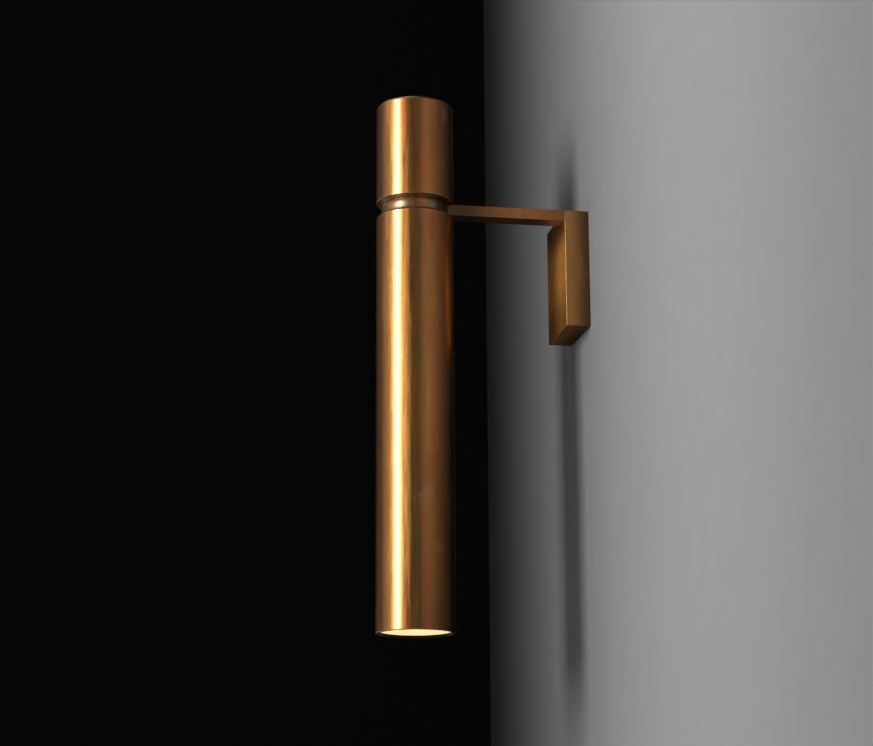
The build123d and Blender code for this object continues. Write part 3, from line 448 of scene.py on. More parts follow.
@dataclass(frozen=True)
class Layout:
    """Places on the light that the finishes follow, as the solids have them."""

    axis: Triple
    canopy_face: float
    groove_foot: float
    groove_head: float

    @classmethod
    def measured(cls) -> "Layout":
        """Reads the places from the frame.

        Returns:
            The layout.
        """
        spindle_low, spindle_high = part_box("hollow_spindle")
        middle = (spindle_low + spindle_high) / 2
        return cls((middle.x, middle.y, 0.0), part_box("wall_canopy")[0].y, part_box("lower_tube")[1].z,
                   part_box("upper_tube")[0].z)


@dataclass
class Layers:
    """A finish while it is built: its graph, and the sockets that will feed its surface shader."""

    graph: Graph
    effects: Effects
    layout: Layout
    place: Socket
    shader: Node
    colour: Socket
    rough: Socket
    height: Socket

    def cover(self, mask: Socket, colour: Socket | Colour, share: float = 1.0) -> None:
        """Lays a colour over what there is.

        Args:
            mask: Where it goes.
            colour: The colour.
            share: How much of the mask it takes.
        """
        if share < 1.0:
            mask = self.graph.math("MULTIPLY", mask, share)
        paint = rgba(colour) if isinstance(colour, tuple) else colour
        self.colour = self.graph.mix(mask, self.colour, paint)

    def roughen(self, mask: Socket, amount: float) -> None:
        """Makes the surface rougher by a mask."""
        self.rough = self.graph.math("ADD", self.rough, self.graph.math("MULTIPLY", mask, amount))

    def rings(self, pitch: float) -> Socket:
        """Turning rings round the tube's axis, of so many radians a metre."""
        inputs = {"Vector": self.place, "Centre": self.layout.axis, "Pitch": pitch}
        return self.graph.group(self.effects.rings, inputs)

    def shine(self, glow: Socket, strength: float) -> None:
        """Makes the surface give light."""
        self.graph.tree.links.new(glow, self.shader.inputs["Emission Color"])
        self.shader.inputs["Emission Strength"].default_value = strength


@dataclass(frozen=True)
class Mark:
    """A stain, rubbed spot, painted reflection, painted highlight or painted shade on the metal, ragged all
    round or, where drawn, in upright threads.
    """

    centre: Triple
    size: Triple
    colour: Colour
    strength: float
    drawn: bool = False


@dataclass(frozen=True)
class Streaks:
    """Upright streaks of one colour: where a noise of this scale and shift lies between two levels."""

    colour: Colour
    scale: float
    shift: Triple
    levels: Span
    share: float


@dataclass(frozen=True)
class PatinaAndShade:
    """The age of the brass, laid over a finish's clouds of colour.

    It streaks all of it and dulls the canopy. It paints shade on the canopy's face below the arm and at its
    foot, on the arm's root in the groove and on what lies close to the wall. It adds marks, among them
    painted reflections, a painted highlight and painted shade, and wear, a dark, uncoated bore and painted
    shade on the foot rims.
    the arm's root in the groove and what lies close to the wall, and adds marks, wear and film.
    """

    streaks: tuple[Streaks, ...] = (
        Streaks((0.70, 0.19, 0.055), 130.0, (0.0, 0.0, 0.0), (0.48, 0.66), 0.5),
        Streaks((0.38, 0.215, 0.05), 170.0, (3.1, 1.7, 0.4), (0.5, 0.68), 0.55))
    speck_scale: float = 700.0
    speck_levels: Span = (0.66, 0.74)
    speck_share: float = 0.4

    canopy_depth: Span = (-0.07 * MILLIMETRE, -0.02 * MILLIMETRE)
    sides_depth: Span = (0.02 * MILLIMETRE, 0.30 * MILLIMETRE)
    dull_face: Colour = (0.84, 0.35, 0.065)
    dull_sides: Colour = (0.58, 0.29, 0.085)
    dull_share: float = 0.65
    face_metallic: float = 0.30
    sides_metallic: float = 0.62

    # Painted shade: the arm's shadow across the top of the canopy's face, darker towards the face's foot,
    # the arm's root between the tubes, and what lies close to the wall.
    painted_face_shade: Colour = (0.10, 0.05, 0.012)
    under_arm_height: Span = (0.013, 0.040, 0.0, 0.90)
    face_foot_height: Span = (-0.040, -0.006, 0.66, 0.0)
    painted_root_shade: Colour = (0.075, 0.034, 0.006)
    root_start: Span = (11.0 * MILLIMETRE, 18.0 * MILLIMETRE)
    root_end: Span = (36.0 * MILLIMETRE, 84.0 * MILLIMETRE, 0.9, 0.0)
    groove_start: Span = (0.05 * MILLIMETRE, 0.75 * MILLIMETRE)
    groove_end: Span = (-0.75 * MILLIMETRE, -0.05 * MILLIMETRE, 1.0, 0.0)
    painted_wall_shade: Colour = (0.12, 0.06, 0.015)
    wall_depth: Span = (-0.016, -0.001)
    wall_share: float = 0.85

    mark_roughness: float = 0.12
    wear_amount: float = 0.7
    # Dark, uncoated and rougher in the bores; on the foot rims this is painted shade.
    dark_bore_shaded_rim: Colour = (0.018, 0.010, 0.005)
    dark_bore_shaded_rim_roughness: float = 0.3

    def lay(self, layers: Layers, finish: "Finish") -> None:
        """Lays the patina and the painted shade over a finish.

        Args:
            layers: The finish while it is built.
            finish: The finish itself, for its colours and marks.
        """
        graph = layers.graph
        threads = graph.vector("MULTIPLY", layers.place, THREADS)
        for streaks in self.streaks:
            noise = graph.noise(graph.vector("ADD", threads, streaks.shift), streaks.scale, detail=3.0)
            layers.cover(graph.spread(noise, *streaks.levels), streaks.colour, streaks.share)
        noise = graph.noise(layers.place, self.speck_scale, detail=2.0, roughness=0.5)
        layers.cover(graph.spread(noise, *self.speck_levels), finish.dark, self.speck_share)
        parts = graph.node("SeparateXYZ", {0: layers.place}).outputs
        face = self._dull(layers, parts["Y"], finish.metallic)
        self._paint_shade(layers, parts["Y"], parts["Z"], face)
        for mark in finish.marks:
            self._mark(layers, threads if mark.drawn else layers.place, mark)
        self._wear_bore_and_rim_shade(layers, finish)

    @staticmethod
    def _beyond(base: float, span: Span) -> Span:
        """A span counted from a base."""
        return (base + span[0], base + span[1], *span[2:])

    def _dull(self, layers: Layers, depth: Socket, metallic: float) -> Socket:
        """Dulls the canopy, its sides less than its face.

        Args:
            layers: The finish while it is built.
            depth: The place's y.
            metallic: How metallic the rest of the finish is.

        Returns:
            A mask of the canopy's face.
        """
        graph, start = layers.graph, layers.layout.canopy_face
        canopy = graph.spread(depth, *self._beyond(start, self.canopy_depth))
        sides = graph.spread(depth, *self._beyond(start, self.sides_depth))
        layers.cover(canopy, graph.mix(sides, rgba(self.dull_face), rgba(self.dull_sides)), self.dull_share)
        lustre = graph.math("ADD", graph.spread(canopy, 0.0, 1.0, metallic, self.face_metallic),
                            graph.math("MULTIPLY", sides, self.sides_metallic - self.face_metallic))
        graph.tree.links.new(lustre, layers.shader.inputs["Metallic"])
        return graph.math("SUBTRACT", canopy, sides)

    def _paint_shade(self, layers: Layers, depth: Socket, height: Socket, face: Socket) -> None:
        """Paints shade on the canopy's face below the arm and at its foot, on the arm's root in the groove
        and on what lies close to the wall.

        Args:
            layers: The finish while it is built.
            depth: The place's y.
            height: The place's z.
            face: The mask of the canopy's face.
        """
        graph, layout = layers.graph, layers.layout
        # Painted shadow of the arm at the top of the canopy's face, and painted shade towards its foot.
        shade = graph.math("ADD", graph.spread(height, *self.under_arm_height),
                           graph.spread(height, *self.face_foot_height))
        layers.cover(graph.math("MULTIPLY", face, shade), self.painted_face_shade)
        # Painted shade on the arm's root in the groove between the tubes.
        root = graph.spread(depth, *self._beyond(layout.axis[1], self.root_start))
        for value, base, span in ((depth, layout.axis[1], self.root_end),
                                  (height, layout.groove_foot, self.groove_start),
                                  (height, layout.groove_head, self.groove_end)):
            root = graph.math("MULTIPLY", root, graph.spread(value, *self._beyond(base, span)))
        layers.cover(root, self.painted_root_shade)
        # Painted shade on what lies close to the wall.
        layers.cover(graph.spread(depth, *self.wall_depth), self.painted_wall_shade, self.wall_share)

    def _mark(self, layers: Layers, vector: Socket, mark: Mark) -> None:
        """Adds one mark and makes it rougher.

        Args:
            layers: The finish while it is built.
            vector: The coordinates that the mark lies on.
            mark: The mark.
        """
        pull = THREADS if mark.drawn else EVEN
        centre, size = (tuple(np.multiply(part, pull)) for part in (mark.centre, mark.size))
        mask = layers.graph.group(layers.effects.mark, {"Vector": vector, "Centre": centre, "Size": size})
        share = layers.graph.math("MULTIPLY", mask, mark.strength)
        layers.cover(share, mark.colour)
        layers.roughen(share, self.mark_roughness)

    def _wear_bore_and_rim_shade(self, layers: Layers, finish: "Finish") -> None:
        """Brightens the worn edges, darkens the bores and takes their coat off, and paints shade on the
        foot rims.

        Args:
            layers: The finish while it is built.
            finish: The finish itself.
        """
        graph = layers.graph
        inputs = {"Vector": layers.place, "Amount": self.wear_amount}
        layers.cover(graph.group(layers.effects.wear, inputs), finish.accent)
        dark_bore_shaded_rim = graph.node("Attribute", attribute_name="dark_bore_shaded_rim").outputs["Fac"]
        layers.cover(dark_bore_shaded_rim, self.dark_bore_shaded_rim)
        layers.roughen(dark_bore_shaded_rim, self.dark_bore_shaded_rim_roughness)
        if finish.coat > 0:
            clear = graph.spread(dark_bore_shaded_rim, 0.0, 1.0, finish.coat, 0.0)
            graph.tree.links.new(clear, layers.shader.inputs["Coat Weight"])


@dataclass(frozen=True)
class Finish:
    """One finish, as its record slot names it, with the numbers of its material.

    The accent is the colour of its worn edges, stripes, pads or dots. The glow is the light it gives:
    between and on the dots of the phosphor, or over the opal face's mottle, with a painted bright
    reflection at its rim.
    """

    slot: str
    dark: Colour
    middle: Colour
    light: Colour
    metallic: float
    roughness: Span
    cloud_scale: float = 40.0
    cloud_stretch: Triple = EVEN
    contrast: float = 0.2
    grain_scale: float = 900.0
    grain_stretch: Triple = EVEN
    grain_levels: Span = (0.3, 0.7)
    bump: float = 0.05
    coat: float = 0.0
    coat_roughness: float = 0.1
    pattern: Pattern = Pattern.PLAIN
    pattern_scale: float = 9000.0
    pattern_levels: Span = (0.0, 1.0)
    accent: Colour = (0.9, 0.6, 0.35)
    glow: tuple[Colour, ...] = ()
    glow_strength: float = 0.0
    marks: tuple[Mark, ...] = ()

    def material(self, effects: Effects, layout: Layout) -> bpy.types.Material:
        """Builds the finish's material.

        Args:
            effects: The shared node groups.
            layout: The places that the finish follows.

        Returns:
            The material.
        """
        made = bpy.data.materials.new(self.slot)
        made.use_nodes = True
        made.node_tree.nodes.clear()
        graph = Graph(made.node_tree)
        place = graph.node("TexCoord").outputs["Object"]
        tones = graph.group(effects.tones, {
            "Vector": place, "Dark": rgba(self.dark), "Middle": rgba(self.middle),
            "Light": rgba(self.light), "Scale": self.cloud_scale, "Stretch": self.cloud_stretch,
            "Contrast": self.contrast})
        grain = graph.group(effects.grain, {
            "Vector": place, "Scale": self.grain_scale, "Stretch": self.grain_stretch})
        rough = graph.spread(grain, *self.grain_levels, *self.roughness)
        shader = graph.node("BsdfPrincipled", {
            "Metallic": self.metallic, "Coat Weight": self.coat, "Coat Roughness": self.coat_roughness})
        layers = Layers(graph, effects, layout, place, shader, tones, rough, grain)
        painters = {
            Pattern.PATINA_AND_SHADE: self._patina, Pattern.TURNED: self._turned, Pattern.EARTH_STRIPE: self._stripe,
            Pattern.COPPER_PADS: self._pads, Pattern.PHOSPHOR: self._phosphor, Pattern.OPAL: self._opal}
        if self.pattern in painters:
            painters[self.pattern](layers)
        bump = graph.node("Bump", {
            "Height": layers.height, "Strength": self.bump, "Distance": BUMP_DISTANCE})
        graph.tree.links.new(layers.colour, shader.inputs["Base Color"])
        graph.tree.links.new(layers.rough, shader.inputs["Roughness"])
        graph.tree.links.new(bump.outputs["Normal"], shader.inputs["Normal"])
        graph.node("OutputMaterial", {"Surface": shader.outputs[0]})
        return made

    def _patina(self, layers: Layers) -> None:
        """Age, as the brass has it, with painted shade, painted reflections and a painted highlight."""
        PatinaAndShade().lay(layers, self)

    def _turned(self, layers: Layers) -> None:
        """Turning rings in the height, with some of the light colour on their crests.

        Args:
            layers: The finish while it is built.
        """
        rings = layers.rings(self.pattern_scale)
        layers.height = layers.graph.math("ADD", layers.height, rings)
        layers.cover(rings, self.light, CREST_SHARE)

    def _stripe(self, layers: Layers) -> None:
        """Bands of the accent along a wire: a wave of x plus z picks one colour or the other.

        Args:
            layers: The finish while it is built.
        """
        graph = layers.graph
        parts = graph.node("SeparateXYZ", {0: layers.place}).outputs
        along = graph.math("ADD", parts["X"], parts["Z"])
        wave = graph.math("SINE", graph.math("MULTIPLY", along, self.pattern_scale))
        layers.cover(graph.spread(wave, *self.pattern_levels), self.accent)

    def _pads(self, layers: Layers) -> None:
        """A ring of the accent on the board, between two distances from the axis, under the lamp's foot.

        Args:
            layers: The finish while it is built.
        """
        graph = layers.graph
        reach = graph.off_axis(layers.place, layers.layout.axis)
        inner, outer = graph.spread(reach, *PAD_INNER_EDGE), graph.spread(reach, *PAD_OUTER_EDGE)
        layers.cover(graph.math("MULTIPLY", inner, outer), self.accent)

    def _phosphor(self, layers: Layers) -> None:
        """A lit field of small dots: cells of a Voronoi pattern, brighter in their middles.

        Args:
            layers: The finish while it is built.
        """
        graph, (between, middle) = layers.graph, self.glow
        cells = graph.node("TexVoronoi", {"Vector": layers.place, "Scale": self.pattern_scale})
        dots = graph.spread(cells.outputs["Distance"], *self.pattern_levels)
        layers.shine(graph.mix(dots, rgba(between), rgba(middle)), self.glow_strength)
        layers.cover(dots, self.accent)

    def _opal(self, layers: Layers) -> None:
        """A lit opal face with a fine mottle, faint rings and a painted bright reflection at its rim.

        Args:
            layers: The finish while it is built.
        """
        graph, (shade, rim) = layers.graph, self.glow
        noise = graph.noise(layers.place, MOTTLE_SCALE, roughness=0.65, distortion=0.3)
        mottle = graph.spread(noise, *self.pattern_levels)
        layers.height = graph.math("ADD", layers.rings(self.pattern_scale), mottle)
        mean = graph.math("MULTIPLY", layers.height, 0.5)
        glow = graph.mix(mean, rgba(shade), layers.colour)
        # A painted bright reflection at the opal's rim, laid into its glow.
        edge = graph.spread(graph.off_axis(layers.place, layers.layout.axis), *PAINTED_RIM_GLINT_EDGE)
        layers.shine(graph.mix(edge, glow, rgba(rim)), self.glow_strength)


CREST_SHARE = 0.25
MOTTLE_SCALE = 330.0
PAD_INNER_EDGE = (12.5 * MILLIMETRE, 12.8 * MILLIMETRE)
PAD_OUTER_EDGE = (13.4 * MILLIMETRE, 13.7 * MILLIMETRE, 1.0, 0.0)
# Where the painted bright reflection at the opal's rim begins and is full.
PAINTED_RIM_GLINT_EDGE = (25.2 * MILLIMETRE, 26.6 * MILLIMETRE)

MARKS = (
    Mark((0.0414, -0.1604, 0.026), (0.0026, 0.0026, 0.024), (0.85, 0.22, 0.08), 0.6, True),
    Mark((0.0414, -0.1604, 0.118), (0.0026, 0.0026, 0.020), (0.85, 0.22, 0.08), 0.5, True),
    Mark((0.0513, -0.1484, 0.112), (0.0024, 0.0024, 0.040), (0.66, 0.15, 0.03), 0.7, True),
    # Painted highlight: a bright orange streak along the lower tube beside the lamp's reflection.
    Mark((0.0521, -0.1463, -0.100), (0.0030, 0.0030, 0.300), (0.95, 0.42, 0.09), 0.6, True),
    # Painted reflection: a dark olive band along both tubes where they mirror the dark room.
    Mark((0.0539, -0.1398, -0.080), (0.0030, 0.0030, 0.400), (0.30, 0.20, 0.05), 0.6, True),
    Mark((0.0529, -0.1279, 0.026), (0.0032, 0.0032, 0.020), (0.55, 0.10, 0.06), 0.5, True),
    Mark((0.0538, -0.1329, -0.188), (0.0080, 0.0080, 0.012), (0.74, 0.42, 0.22), 0.32),
    Mark((0.0505, -0.1220, -0.226), (0.006, 0.006, 0.006), (0.76, 0.42, 0.20), 0.4),
    Mark((0.0460, -0.1160, 0.114), (0.004, 0.004, 0.007), (0.70, 0.50, 0.30), 0.5),
    # Painted reflection: dark on the tube's side towards the wall near the neck, standing in for its own
    # shadow mirrored there.
    Mark((0.0367, -0.1088, -0.020), (0.0120, 0.0120, 0.060), (0.09, 0.035, 0.008), 1.0, True),
    # Painted reflection: a red-orange streak where the tube mirrors the canopy.
    Mark((0.0482, -0.1183, -0.013), (0.0030, 0.0030, 0.030), (0.75, 0.18, 0.01), 0.6, True),
    Mark((0.0500, -0.1500, -0.060), (0.007, 0.007, 0.028), (0.40, 0.17, 0.045), 0.5),
    Mark((0.0000, -0.1550, -0.120), (0.010, 0.010, 0.020), (0.42, 0.18, 0.05), 0.6),
    Mark((0.0310, -0.0100, 0.000), (0.003, 0.009, 0.022), (0.50, 0.22, 0.06), 0.5),
)
BAND_MARKS = (
    # Painted reflection: the band's dark middle, where it mirrors the dark room.
    Mark((0.0503, -0.1403, 0.050), (0.0030, 0.0030, 0.020), (0.17, 0.11, 0.035), 0.7, True),
    # Painted shade on the band where it meets the arm.
    Mark((0.0442, -0.1187, 0.050), (0.0075, 0.0075, 0.020), (0.11, 0.07, 0.010), 0.75, True),
)

FINISHES = (
    Finish("burnished_brass", (0.48, 0.175, 0.036), (0.68, 0.26, 0.052), (0.80, 0.35, 0.10), 1.0,
           (0.24, 0.36), 26.0, cloud_stretch=(1.0, 1.0, 0.35), contrast=0.22, grain_scale=1500.0,
           grain_stretch=UPRIGHT, bump=0.03, coat=0.9, coat_roughness=0.26, pattern=Pattern.PATINA_AND_SHADE,
           accent=(0.95, 0.62, 0.34), marks=MARKS),
    Finish("satin_brass", (0.28, 0.165, 0.075), (0.41, 0.26, 0.13), (0.54, 0.38, 0.22), 0.9,
           (0.30, 0.42), 60.0, grain_scale=1300.0, grain_stretch=(1.0, 1.0, 6.0), bump=0.06, coat=0.8,
           coat_roughness=0.26, pattern=Pattern.PATINA_AND_SHADE, accent=(0.75, 0.52, 0.32), marks=BAND_MARKS),
    Finish("dark_cap", (0.020, 0.014, 0.009), (0.040, 0.026, 0.017), (0.075, 0.05, 0.03), 0.3, (0.42, 0.58),
           70.0, grain_scale=1100.0, bump=0.12),
    Finish("turned_steel", (0.34, 0.34, 0.35), (0.50, 0.50, 0.51), (0.66, 0.66, 0.67), 1.0, (0.25, 0.38),
           50.0, bump=0.1, pattern=Pattern.TURNED),
    Finish("zinc_steel", (0.42, 0.43, 0.45), (0.55, 0.56, 0.57), (0.68, 0.69, 0.68), 1.0, (0.30, 0.48),
           130.0, contrast=0.12, grain_scale=500.0, bump=0.08),
    Finish("spring_steel", (0.10, 0.10, 0.11), (0.19, 0.19, 0.20), (0.30, 0.29, 0.27), 1.0, (0.28, 0.42),
           90.0, bump=0.06, pattern=Pattern.TURNED),
    Finish("dark_screws", (0.05, 0.04, 0.035), (0.10, 0.08, 0.065), (0.22, 0.16, 0.12), 1.0, (0.32, 0.5),
           240.0, grain_scale=2200.0, bump=0.08),
    Finish("bright_screws", (0.45, 0.45, 0.46), (0.60, 0.60, 0.61), (0.74, 0.74, 0.74), 1.0, (0.2, 0.35),
           200.0, grain_scale=2600.0, bump=0.06),
    Finish("plated_brass", (0.50, 0.40, 0.20), (0.66, 0.54, 0.30), (0.80, 0.70, 0.45), 1.0, (0.2, 0.34),
           180.0, grain_scale=2200.0, bump=0.06),
    Finish("cast_aluminium", (0.44, 0.45, 0.46), (0.56, 0.57, 0.58), (0.66, 0.67, 0.68), 1.0, (0.45, 0.6),
           60.0, grain_scale=1600.0, bump=0.25),
    Finish("nylon_washer", (0.018, 0.018, 0.018), (0.035, 0.035, 0.035), (0.06, 0.06, 0.06), 0.0,
           (0.45, 0.6), 150.0, grain_scale=1800.0, bump=0.08),
    Finish("white_nylon", (0.66, 0.66, 0.63), (0.76, 0.76, 0.73), (0.82, 0.82, 0.80), 0.0, (0.35, 0.5),
           120.0, grain_scale=1500.0, bump=0.08),
    Finish("driver_case", (0.68, 0.68, 0.66), (0.76, 0.76, 0.74), (0.81, 0.81, 0.80), 0.0, (0.42, 0.56),
           70.0, grain_scale=2400.0, bump=0.22),
    Finish("foam_tape", (0.55, 0.55, 0.53), (0.68, 0.68, 0.66), (0.78, 0.78, 0.76), 0.0, (0.8, 0.95),
           300.0, grain_scale=1900.0, bump=0.5),
    Finish("soft_ring", (0.012, 0.012, 0.012), (0.022, 0.022, 0.022), (0.045, 0.045, 0.045), 0.0,
           (0.5, 0.7), 220.0, grain_scale=2000.0, bump=0.12),
    Finish("lead_sheath", (0.02, 0.02, 0.021), (0.04, 0.04, 0.041), (0.07, 0.07, 0.07), 0.0, (0.42, 0.56),
           160.0, grain_scale=1500.0, bump=0.1),
    Finish("wire_brown", (0.10, 0.035, 0.012), (0.16, 0.06, 0.02), (0.24, 0.10, 0.04), 0.0, (0.3, 0.42),
           240.0, grain_scale=1800.0, bump=0.05),
    Finish("wire_earth", (0.03, 0.20, 0.03), (0.04, 0.28, 0.05), (0.07, 0.36, 0.08), 0.0, (0.3, 0.42),
           240.0, grain_scale=1800.0, bump=0.05, pattern=Pattern.EARTH_STRIPE, pattern_scale=1900.0,
           pattern_levels=(-0.1, 0.1), accent=(0.75, 0.62, 0.05)),
    Finish("board_white", (0.70, 0.70, 0.68), (0.80, 0.80, 0.78), (0.86, 0.86, 0.85), 0.0, (0.3, 0.42),
           110.0, grain_scale=1300.0, bump=0.05, pattern=Pattern.COPPER_PADS, accent=(0.72, 0.36, 0.16)),
    Finish("led_yellow", (0.80, 0.55, 0.14), (0.88, 0.66, 0.20), (0.95, 0.78, 0.32), 0.0, (0.3, 0.45),
           300.0, grain_scale=1800.0, bump=0.08, pattern=Pattern.PHOSPHOR, pattern_scale=800.0,
           pattern_levels=(0.1, 0.6, 1.0, 0.0), accent=(0.95, 0.85, 0.5),
           glow=((0.85, 0.55, 0.18), (1.0, 0.88, 0.55)), glow_strength=2.0),
    Finish("reflector_white", (0.78, 0.78, 0.76), (0.85, 0.85, 0.83), (0.90, 0.90, 0.88), 0.0, (0.15, 0.28),
           60.0, grain_scale=900.0, bump=0.04),
    Finish("opal_diffuser", (0.88, 0.70, 0.34), (0.97, 0.81, 0.42), (1.0, 0.90, 0.58), 0.0, (0.35, 0.5),
           150.0, contrast=0.15, grain_scale=1400.0, bump=0.25, pattern=Pattern.OPAL, pattern_scale=3600.0,
           pattern_levels=(0.35, 0.68), glow=((0.78, 0.58, 0.23), (1.0, 0.96, 0.80)), glow_strength=1.0),
)


class PaintShop:
    """Makes each finish's material once and puts them on the pieces."""

    def __init__(self, layout: Layout) -> None:
        """Takes the places that the finishes follow."""
        effects = Effects()
        self.materials = {finish.slot: finish.material(effects, layout) for finish in FINISHES}

    def dress(self, piece: bpy.types.Object, slot: str, body: str, *nodes: str) -> None:
        """Gives a new piece its material and its body, and hides the nodes it stands for.

        Args:
            piece: The new piece.
            slot: The record's slot.
            body: The body it rides on.
            nodes: The solids it replaces.
        """
        piece.data.materials.append(self.materials[slot])
        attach(piece, body)
        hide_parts(*nodes)
        log.info("piece %s: %d faces, finish %s, for %s", piece.name, len(piece.data.polygons), slot, nodes)

    def dress_solids(self) -> None:
        """Gives every solid the material of its slot in the record."""
        for row in frame["record"]["subparts"]:
            solid = frame["nodes"][row["node"]]
            for place in solid.material_slots:
                place.material = self.materials[row["material_slot"]]
            log.info("solid %s: finish %s", row["node"], row["material_slot"])


# ------------------------------------------------------------------ sub-assemblies
@dataclass
class TubeShell:
    """One length of brass tube, with a chamfer at its head, rounded rims and grooves in its bore."""

    node: str
    body: str
    head_chamfer: float
    # How much painted shade the foot rim takes.
    foot_shade: float
    wall: float = 2.5 * MILLIMETRE
    head_radius: float = 0.35 * MILLIMETRE
    foot_radius: float = 0.4 * MILLIMETRE
    bore_rim_radius: float = 0.2 * MILLIMETRE
    groove_radius: float = 0.85 * MILLIMETRE
    groove_roundness: float = 0.98
    wear_reach: float = 0.9 * MILLIMETRE
    foot_wear: float = 0.3
    bore_margin: float = 0.1 * MILLIMETRE
    rim_height: float = 0.05 * MILLIMETRE
    rim_margin: float = 0.2 * MILLIMETRE
    segments: int = 168
    arc_rows: int = 8
    run_rows: int = 40

    def section(self, grooves: list[float]) -> Array:
        """The wall's outline in (r, z), up the outside and down the bore.

        Args:
            grooves: The heights of the round grooves in the bore.

        Returns:
            The outline's points.
        """
        low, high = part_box(self.node)
        outer = (high.x - low.x) / 2
        bore = outer - self.wall
        cut = self.head_chamfer
        corners = [(outer, low.z), (outer, high.z - cut), (outer - cut, high.z), (bore, high.z)]
        radii = [self.foot_radius, self.head_radius, self.head_radius, self.bore_rim_radius]
        for height in sorted(grooves, reverse=True):
            reach, bend = self.groove_radius, self.groove_radius * self.groove_roundness
            corners += [(bore, height + reach), (bore + reach, height + reach),
                        (bore + reach, height - reach), (bore, height - reach)]
            radii += [0.0, bend, bend, 0.0]
        corners.append((bore, low.z))
        radii.append(self.bore_rim_radius)
        return traced_line(np.array(corners), np.array(radii), True, self.arc_rows, self.run_rows)

    def build(self, shop: PaintShop, grooves: list[float]) -> None:
        """Makes the tube and dresses it, with masks of its worn ends, of its dark bore and of the painted
        shade on its foot rim.

        Args:
            shop: The paint shop.
            grooves: The heights of the round grooves in the bore.
        """
        low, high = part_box(self.node)
        centre = (low + high) / 2
        rows = turned_rows(self.section(grooves), centre, self.segments)
        head = np.exp((rows[..., 2] - high.z) / self.wear_reach)
        foot = np.exp((low.z - rows[..., 2]) / self.wear_reach)
        reach = np.hypot(rows[..., 0] - centre.x, rows[..., 1] - centre.y)
        outer = (high.x - low.x) / 2
        bore = reach < outer - self.wall + self.bore_margin
        # The foot rim's mask: painted shade there.
        rim = (rows[..., 2] < low.z + self.rim_height) & (reach < outer - self.rim_margin)
        masks = {"edge": head + self.foot_wear * foot, "dark_bore_shaded_rim": np.maximum(bore, self.foot_shade * rim)}
        shell = surface(self.node + "_shell", rows, Ends.JOINED, masks)
        shop.dress(shell, "burnished_brass", self.body, self.node)


